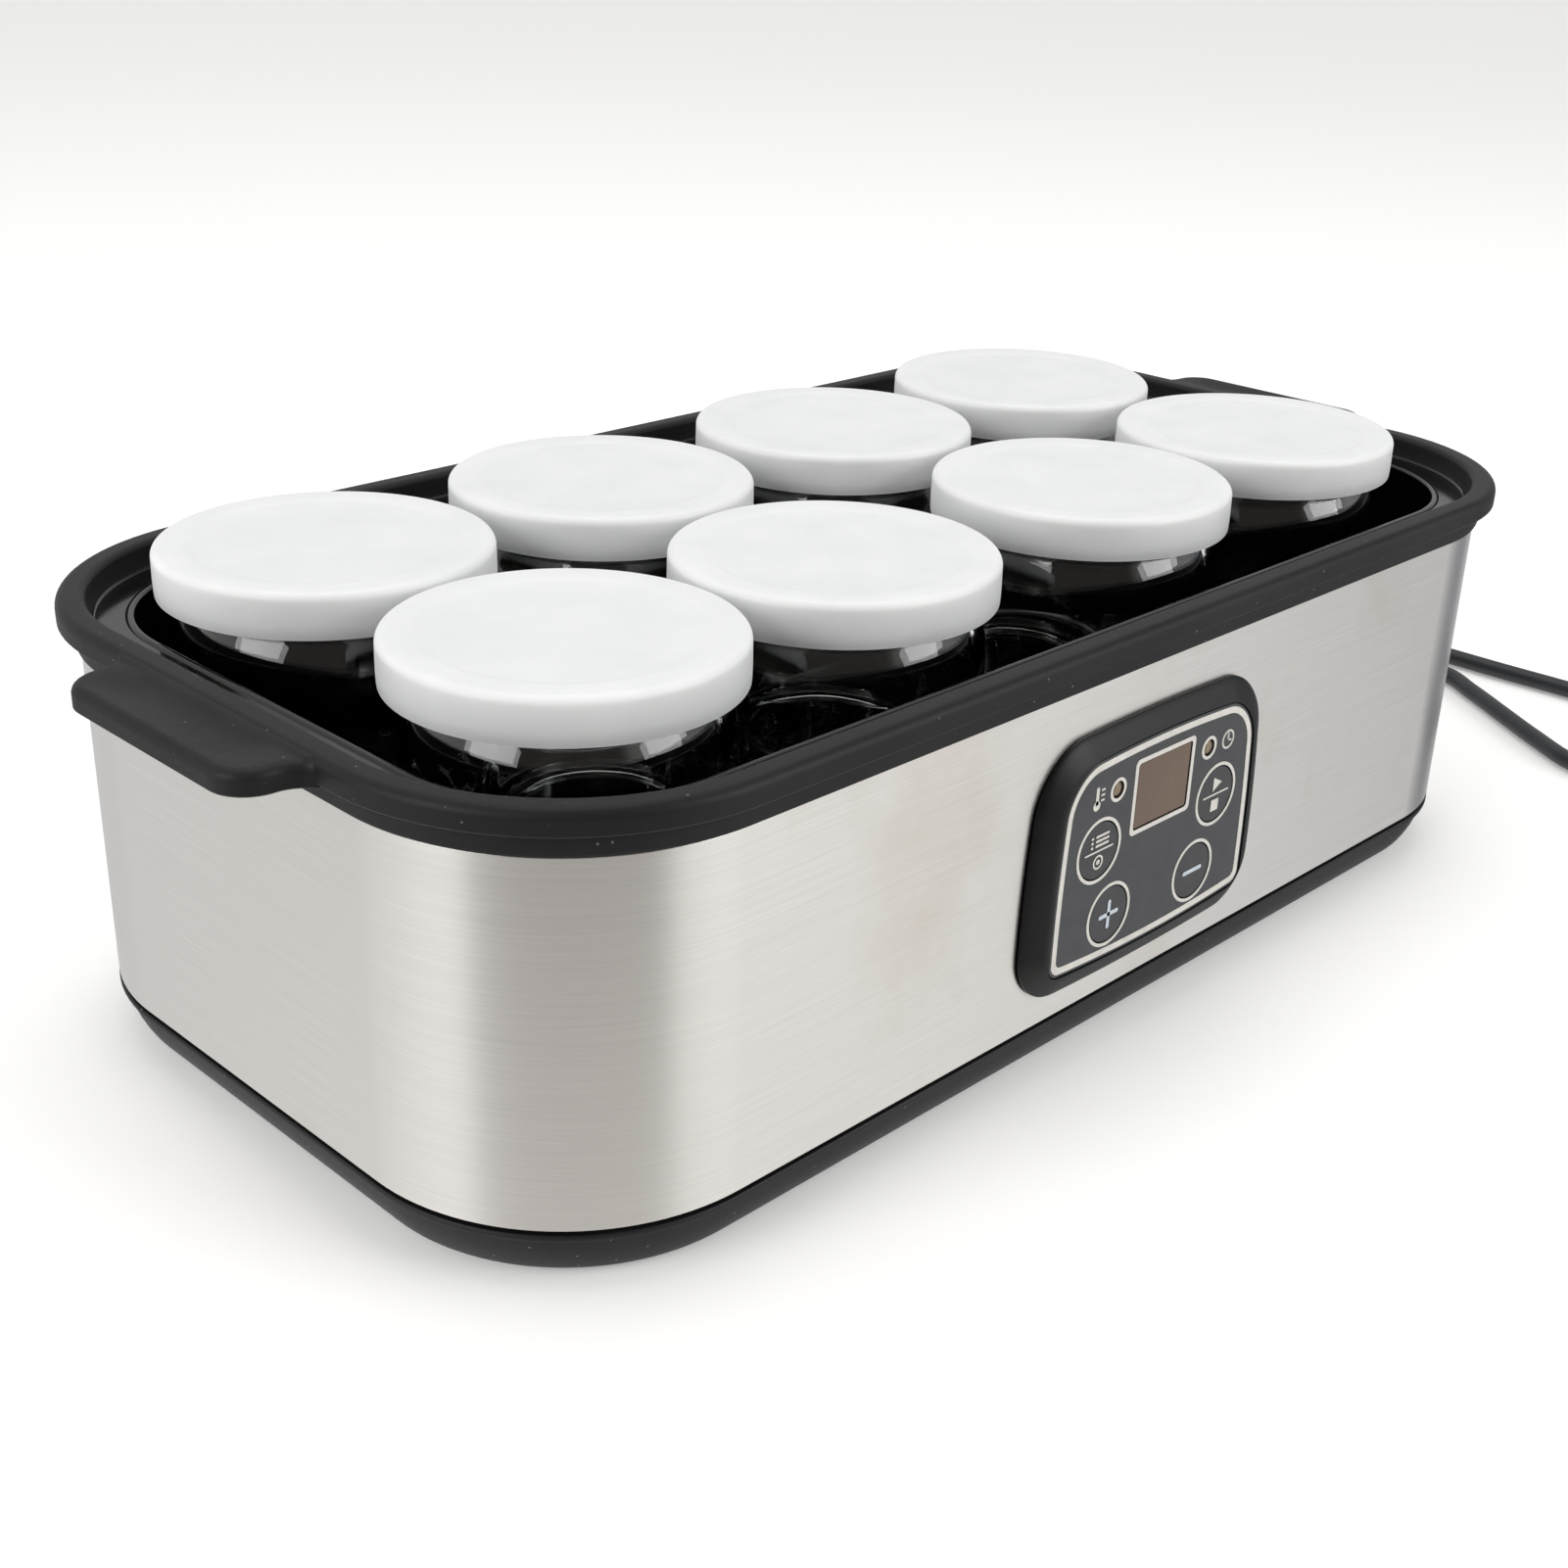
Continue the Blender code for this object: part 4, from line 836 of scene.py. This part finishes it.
# %% [markdown]
# ## Jars
# Each jar is pressed glass with a heavy base and a long round shoulder that runs in under the lid and catches
# the lights as bright patches. It is turned from the base up, over the mouth, and down the inside.

# %% Jar
JAR_BASE = 22.3


def make_jar():
    jar = turned_blank("jar_blank", 30.4, JAR_BASE, 0.05, 128)
    outside = quarter((29.9, JAR_BASE + 3.4), (3.1, 3.4), -75, 0, 7) + [(33.0, 60.0)]
    outside += quarter((7.0, 86.2), (26.0, 26.0), 0, 27, 14) + [(29.8, 98.7), (29.6, 99.4), (29.6, 101.0)]
    outside += [(29.9, 101.4), (29.9, 102.6)]
    outside += [(29.6, 103.0), (29.6, 105.2)] + quarter((28.6, 105.2), (1.0, 1.15), 20, 90, 4)
    inside = quarter((28.0, 105.2), (-1.0, 1.1), 90, 10, 4)[1:] + [(27.0, 99.0)]
    inside += list(reversed(quarter((6.4, 85.0), (24.0, 24.0), 0, 28, 9))) + [(30.2, 60.0)]
    inside += quarter((27.2, 29.5), (3.0, 4.0), 0, -80, 6) + [(20.0, 25.6), (6.0, 25.9)]
    turn_up(jar, 1, (30.4, JAR_BASE + 0.05), outside + inside)
    turn_up(jar, -1, (30.4, JAR_BASE), [(29.0, 22.25), (27.5, 22.3), (26.0, 22.9), (18.0, 23.3), (5.0, 23.4)])
    tidy_mesh(jar, 60, False)
    return jar


# %% [markdown]
# ## Lids
# Each lid is a shallow cap that pushes on. Its top is a broad disc, sunk half a millimetre inside a soft ring, and
# its edge rolls over into the skirt.

# %% Lid
def make_lid():
    lid = turned_blank("lid_blank", 35.1, 99.25, 0.5, 128)
    steps = [(35.15, 99.9), (35.2, 102.0), (35.15, 106.6)] + quarter((33.4, 107.0), (1.75, 1.8), 6, 90, 8)
    steps += [(31.2, 108.84), (29.0, 108.8), (28.3, 108.72), (27.7, 108.52), (27.1, 108.38)]
    steps += [(26.2, 108.32), (14.0, 108.36), (4.0, 108.38)]
    turn_up(lid, 1, (35.1, 99.75), steps)
    inner = [(34.9, 99.2), (34.0, 99.2), (33.8, 99.5), (33.8, 105.6), (32.9, 106.6), (30.5, 106.7), (12.0, 106.7)]
    turn_up(lid, -1, (35.1, 99.25), inner)
    tidy_mesh(lid, 50, False)
    return lid


jar_blank, lid_blank = make_jar(), make_lid()
for number in range(1, 9):
    middle = middle_of(f"jar_{number}")
    jar = copy_to(jar_blank, f"glass_jar_{number}", middle.x, middle.y)
    settle(jar, f"jar_{number}", [f"jar_{number}"], [GLASS])
    lid = copy_to(lid_blank, f"white_lid_{number}", middle.x, middle.y)
    settle(lid, f"lid_{number}", [f"lid_{number}"], [LID_WHITE])
for blank in (jar_blank, lid_blank):
    bpy.data.objects.remove(blank, do_unlink=True)

# %% [markdown]
# ## The control panel
# The bezel is a pillowed frame, a rounded oblong whose sides lean in towards the top and whose top and bottom bow
# outwards. It slopes to a flat field for the printed sheet. The outline is worked out from its corner circles
# and then bent. The panel is made lying flat and stood up against the sleeve.

# %% Panel outline
def arc(cx, cy, radius, start, end, steps):
    return quarter((cx, cy), (radius, radius), start, end, steps)


def panel_outline(half, low, high, foot_radius, shoulder_radius, bow):
    """The panel's outline in its own plane, anticlockwise, in millimetres; low and high are at its corners."""
    shares = [i / 16 for i in range(16)]
    right = [((half - foot_radius) * t, low) for t in shares]
    right += arc(half - foot_radius, low + foot_radius, foot_radius, 270, 360, 14)
    span = high - low - foot_radius - shoulder_radius
    right += [(half, low + foot_radius + span * t) for t in shares[1:]]
    right += arc(half - shoulder_radius, high - shoulder_radius, shoulder_radius, 0, 90, 18)
    right += [((half - shoulder_radius) * (1 - t), high) for t in shares[1:]] + [(0, high)]
    bent = []
    for x, y in right:
        lean = 0.09 * max(0.0, (y - 33.0) / 45.2) ** 2
        bulge = bow * (1 - (x / half) ** 2)
        bent.append((x * (1 - lean), y + (bulge if y > (low + high) / 2 else -bulge)))
    return bent + [(-x, y) for x, y in reversed(bent[1:-1])]


def field(inset):
    """The printed field's outline, inset from the edge of its pale border."""
    return panel_outline(34.7 - inset, 25.7 + inset, 71.2 - inset, 2.6 - 0.6 * inset, 9.6 - inset, 1.5)


def flat_piece(name, outline, height, thickness):
    """A closed slab from an outline, lying flat."""
    obj = new_mesh(name, [metres(x, y, height) for x, y in outline], [range(len(outline))])
    choose(obj)
    bpy.ops.object.mode_set(mode="EDIT")
    thicken(thickness)
    return obj


def stand_up(obj):
    """Turn a panel piece from lying flat to standing on the sleeve's front."""
    obj.data.transform(Matrix.Translation((0, -HALF_Y * MM, up(0))) @ Matrix.Rotation(pi / 2, 4, "X"))
    return obj


def drill(obj, x, y, radius, sides=48):
    """Cut a round hole through a panel piece that is lying flat."""
    cut(obj, cylinder("drill", radius, 30, metres(x, y, 0), sides))


def mill(obj, y, width, height, corner):
    """Cut a rectangular hole with round corners through a panel piece that is lying flat."""
    tool = cuboid("mill", (width, height, 30), metres(0, y, 0))
    pick(tool, lambda f: abs(f.normal.z) < 0.1)
    bpy.ops.object.mode_set(mode="OBJECT")
    apply_modifier(tool, "BEVEL", width=corner * MM, segments=5, limit_method="NONE")
    cut(obj, tool)


KEYS = {"key_menu": (-21.5, 51.4), "key_start": (21.5, 51.4), "key_plus": (-15.6, 34.2), "key_minus": (15.6, 34.2)}
LENSES = {"temperature_lens": (-16.6, 64.1), "time_lens": (16.6, 64.1)}
KEY_RADIUS, LENS_RADIUS = 6.6, 1.7
WINDOW_X, WINDOW_Y, WINDOW_MIDDLE = 9.6, 7.7, 60.0
PROUD = 4.0


def open_panel(obj, gap, window_gap, corner):
    """Cut the holes for the keys, the light pipes and the window, each a gap larger all round."""
    for x, y in KEYS.values():
        drill(obj, x, y, KEY_RADIUS + gap)
    for x, y in LENSES.values():
        drill(obj, x, y, LENS_RADIUS + gap, 32)
    mill(obj, WINDOW_MIDDLE, 2 * (WINDOW_X + window_gap), 2 * (WINDOW_Y + window_gap), corner)


# %% Bezel
bezel = flat_piece("panel_frame", panel_outline(42.0, 19.2, 77.0, 12.0, 14.0, 1.2), 0.3, 0.6)
slope = [(0.35, 1.35), (1.3, 1.95), (2.3, 2.5), (3.3, 3.0), (4.3, 3.5), (5.1, 3.85), (5.6, 3.96), (6.1, PROUD)]
carry(bezel, 1, (0.0, 0.9), slope)
cut(bezel, flat_piece("pocket", field(-0.9), PROUD - 1.1, 5.0))
open_panel(bezel, 0.3, 0.3, 1.0)
tidy_mesh(stand_up(bezel), 34)
settle(bezel, "body", ["panel_bezel"], [SATIN])

# %% Printed sheet
sheet = flat_piece("printed_sheet", field(-0.6), PROUD - 0.8, 0.5)
open_panel(sheet, 0.25, 0.2, 0.6)
tidy_mesh(stand_up(sheet))
settle(sheet, "body", ["panel_overlay"], [SHEET])

# %% [markdown]
# ### Ink
# The pale lines are screen-printed. Each is a thin raised piece, joined to its neighbours of the same colour. The
# labels are plain signs: a thermometer, a clock, a list, and a start and stop pair.

# %% Ink pieces
INK_LOW, INK_THICK = PROUD - 0.3, 0.1


def band(outline_of, wide):
    """A closed printed line: outline_of(inset) gives its outline at an inset."""
    outer, inner = outline_of(0.0), outline_of(wide)
    count = len(outer)
    points = [metres(x, y, INK_LOW) for x, y in outer + inner]
    faces = [(i, (i + 1) % count, count + (i + 1) % count, count + i) for i in range(count)]
    return print_shape(points, faces)


def print_shape(points, faces):
    """A thin raised print from flat faces."""
    obj = new_mesh("ink", points, faces)
    apply_modifier(obj, "SOLIDIFY", thickness=INK_THICK * MM, offset=1)
    return obj


def ring(x, y, radius, wide, steps=64):
    return band(lambda inset: arc(x, y, radius - inset, 0, 360 - 360 / steps, steps - 1), wide)


def bar(x, y, length, wide, tilt=0.0):
    """A printed stroke with round ends."""
    half = length / 2 - wide / 2
    points = arc(half, 0, wide / 2, -90, 90, 8) + arc(-half, 0, wide / 2, 90, 270, 8)
    cosine, sine = cos(tilt), sin(tilt)
    return polygon([(x + px * cosine - py * sine, y + px * sine + py * cosine) for px, py in points])


def polygon(points):
    return print_shape([metres(x, y, INK_LOW) for x, y in points], [range(len(points))])


def joined(name, prints):
    """Join printed strokes into one piece and stand it up."""
    deselect_all()
    for obj in prints:
        obj.select_set(True)
    bpy.context.view_layer.objects.active = prints[0]
    bpy.ops.object.join()
    obj = named(name)
    tidy_mesh(stand_up(obj), 30, False)
    return obj


def rounded_box(half_x, half_y, radius):
    """An outline with round corners about the window's middle."""
    points = []
    for i, (side, end) in enumerate(((1, 1), (-1, 1), (-1, -1), (1, -1))):
        x, y = side * (half_x - radius), WINDOW_MIDDLE + end * (half_y - radius)
        points += arc(x, y, radius, 90 * i, 90 * i + 90, 5)
    return points


border = band(field, 1.5)
window_line = band(lambda d: rounded_box(10.9 - d, 8.95 - d, 1.3 - 0.4 * d), 1.05)
lines = [border, window_line]
lines += [ring(x, y, 7.62, 0.76) for x, y in KEYS.values()]
lines += [ring(x, y, 2.75, 0.75, 40) for x, y in LENSES.values()]
thermometer = [ring(-23.9, 62.5, 1.15, 0.9, 24), bar(-23.9, 64.6, 4.4, 0.95, pi / 2)]
thermometer += [bar(-22.0, 63.4 + 1.2 * i, 1.3, 0.42) for i in range(3)]
clock = [ring(23.9, 64.1, 2.3, 0.48, 36), bar(23.9, 64.75, 1.9, 0.45, pi / 2), bar(24.45, 63.9, 1.5, 0.45, -0.3)]
lines += thermometer + clock
settle(joined("panel_lines", lines), "body", (), [INK])

# %% Keys, each with its own sign
def key_signs(name, x, y):
    """The printed strokes on one key."""
    if name == "key_plus":
        return [bar(x, y, 6.9, 1.0), bar(x, y, 7.0, 1.0, pi / 2)]
    if name == "key_minus":
        return [bar(x, y, 7.2, 1.0)]
    signs = [bar(x, y, 9.8, 0.4)]
    if name == "key_menu":
        signs += [bar(x + 0.9, y + 1.3 + 1.1 * i, 4.6, 0.55) for i in range(3)]
        signs += [bar(x - 2.6, y + 1.3 + 1.1 * i, 0.8, 0.55) for i in range(3)]
        signs += [ring(x, y - 2.7, 1.7, 0.45, 28), ring(x, y - 2.7, 0.6, 0.5, 16)]
    else:
        signs += [polygon([(x - 1.3, y + 0.9), (x + 1.9, y + 2.6), (x - 1.3, y + 4.3)])]
        signs += [polygon([(x - 1.4, y - 4.1), (x + 1.4, y - 4.1), (x + 1.4, y - 1.3), (x - 1.4, y - 1.3)])]
    return signs


for name, (x, y) in KEYS.items():
    cap = cylinder(name.replace("key", "keycap"), KEY_RADIUS, 3.5, metres(0, 0, 1.75), 56)
    carry(cap, 1, (0.0, 3.5), [(0.12, 3.68), (0.35, 3.7), (0.8, 3.66), (1.6, 3.64)])
    turn_up(cap, -1, (KEY_RADIUS, 0.0), [(7.4, 0.0), (7.4, -0.6), (1.6, -0.6), (1.6, -1.0)])
    shift(cap, x, y)
    tidy_mesh(stand_up(cap))
    settle(cap, name, [name], [KEY_FACE])
    ink = INK_BLUE if name in ("key_plus", "key_minus") else INK
    settle(joined(name.replace("key", "sign"), key_signs(name, x, y)), name, (), [ink])

# %% Window and light pipes
window = cuboid("smoked_window", (2 * WINDOW_X, 2 * WINDOW_Y, 1.5), metres(0, WINDOW_MIDDLE, PROUD - 1.1))
round_edges(window, 0.35, 3)
tidy_mesh(stand_up(window))
settle(window, "body", ["display_window"], [SMOKED])
for name, (x, y) in LENSES.items():
    pipe = cylinder(name.replace("lens", "light_pipe"), LENS_RADIUS, 8.2, metres(0, 0, -0.9), 32)
    carry(pipe, 1, (0.0, 3.2), [(0.3, 3.5), (0.8, 3.66), (1.3, 3.7)])
    shift(pipe, x, y)
    tidy_mesh(stand_up(pipe))
    settle(pipe, "body", [name], [AMBER])

# %% [markdown]
# ## Inner parts
# The board, switches, heater and screws stay the CAD model's own solids and only get a better finish each.

# %% Finishes for the inner parts
INNER = {
    "control_board": BOARD_GREEN,
    "display_module": SATIN,
    "heater_plate": ALUMINIUM,
    "heating_element": SILICONE,
    "thermal_sensor": CERAMIC,
    "thermal_fuse": CERAMIC,
}
INNER.update({f"switch_{key}": SATIN for key in ("menu", "start", "plus", "minus")})
INNER.update({f"{kind}_screw_{i}": ZINC for kind in ("base", "board") for i in range(1, 5)})
for name, finish in INNER.items():
    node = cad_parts[name]
    node.data.materials.clear()
    node.data.materials.append(finish)
print("inner parts finished:", len(INNER))

# %% [markdown]
# ## Floor and light
# A pale table top in a bright studio. The steel shows what stands round it, so the surroundings have broad bright
# sides and darker gaps between them. Two soft boxes give the jars' shoulders their patches.

# %% Floor
deselect_all()
bpy.ops.mesh.primitive_plane_add(size=12, location=(0, 0, 0))
floor = named("pale_floor")
glow = {"Emission_Color": linear("#FFFFFF"), "Emission_Strength": 0.25}
matt_white, _ = new_material("matt_white_table", Roughness=0.9, Base_Color=linear("#F7F7F6"), **glow)
floor.data.materials.append(matt_white)
floor.visible_glossy = False


# %% Surroundings
def make_surroundings():
    """Colours by direction: round the table's edge below the horizon, and round the room above it."""
    world = bpy.data.worlds.new("studio")
    world.use_nodes = True
    bpy.context.scene.world = world
    where = add_node(world, "ShaderNodeTexCoord")
    parts = add_node(world, "ShaderNodeSeparateXYZ", [("Vector", where, "Generated")])
    angle = add_node(world, "ShaderNodeMath", [(0, parts, "Y"), (1, parts, "X")], operation="ARCTAN2")
    turned = spread(world, angle, "Value", 0.0, 1.0, -pi, pi)
    low = [(0.0, "#FFFEFC"), (0.008, "#FFFEFC"), (0.024, "#E4E1DE"), (0.245, "#E5E2DE"), (0.275, "#F2F1EE")]
    low += [(0.385, "#EFEEEB"), (0.4, "#EAE9E6"), (0.418, "#CCCCCB"), (0.435, "#C4C5C5"), (0.46, "#8E9196")]
    low += [(0.5, "#9A9CA0"), (0.53, "#DADADA"), (0.8, "#D4D4D3"), (0.832, "#DADAD8"), (0.85, "#EFEFED")]
    low += [(0.96, "#FAF9F7")]
    high = [(0.0, "#E6E5E3"), (0.024, "#777370"), (0.245, "#777370"), (0.275, "#E6E5E2"), (0.4, "#EBEAE8")]
    high += [(0.418, "#CCCCCB"), (0.435, "#BFBFC0"), (0.46, "#7E8186"), (0.5, "#85878C"), (0.53, "#CFCFCF")]
    high += [(0.8, "#CFCFCF"), (0.85, "#DEDDDB")]
    table = shades(world, turned, "Result", *low)
    room = shades(world, turned, "Result", *high)
    lift = spread(world, parts, "Z", 0.0, 1.0, -0.53, -0.4)
    lift.interpolation_type = "SMOOTHSTEP"
    mixed = blend(world, table, lift)
    join(world, room, "Color", mixed, 7)
    backdrop = world.node_tree.nodes["Background"]
    join(world, mixed, 2, backdrop, "Color")
    backdrop.inputs["Strength"].default_value = 1.12


make_surroundings()


def soft_box(name, turned, lifted, far, wide, tall, radiance):
    """A soft box seen from the machine at a bearing and a height in degrees, facing it."""
    place = Vector((cos(radians(turned)), sin(radians(turned)), 0)) * cos(radians(lifted)) * far
    place.z = sin(radians(lifted)) * far
    bpy.ops.object.light_add(type="AREA", location=place)
    light = named(name)
    light.data.shape = "RECTANGLE"
    light.data.size, light.data.size_y = wide, tall
    light.data.energy = radiance * pi * wide * tall
    light.rotation_euler = (-place).to_track_quat("-Z", "Y").to_euler()
    return light


soft_box("left_box", 180, 24, 1.5, 0.85, 0.6, 4.2)
soft_box("right_box", 297, 24, 1.5, 0.85, 0.6, 4.2)
soft_box("overhead_box", 60, 80, 1.6, 1.4, 1.0, 1.3)
bpy.context.scene.view_settings.view_transform = "Standard"
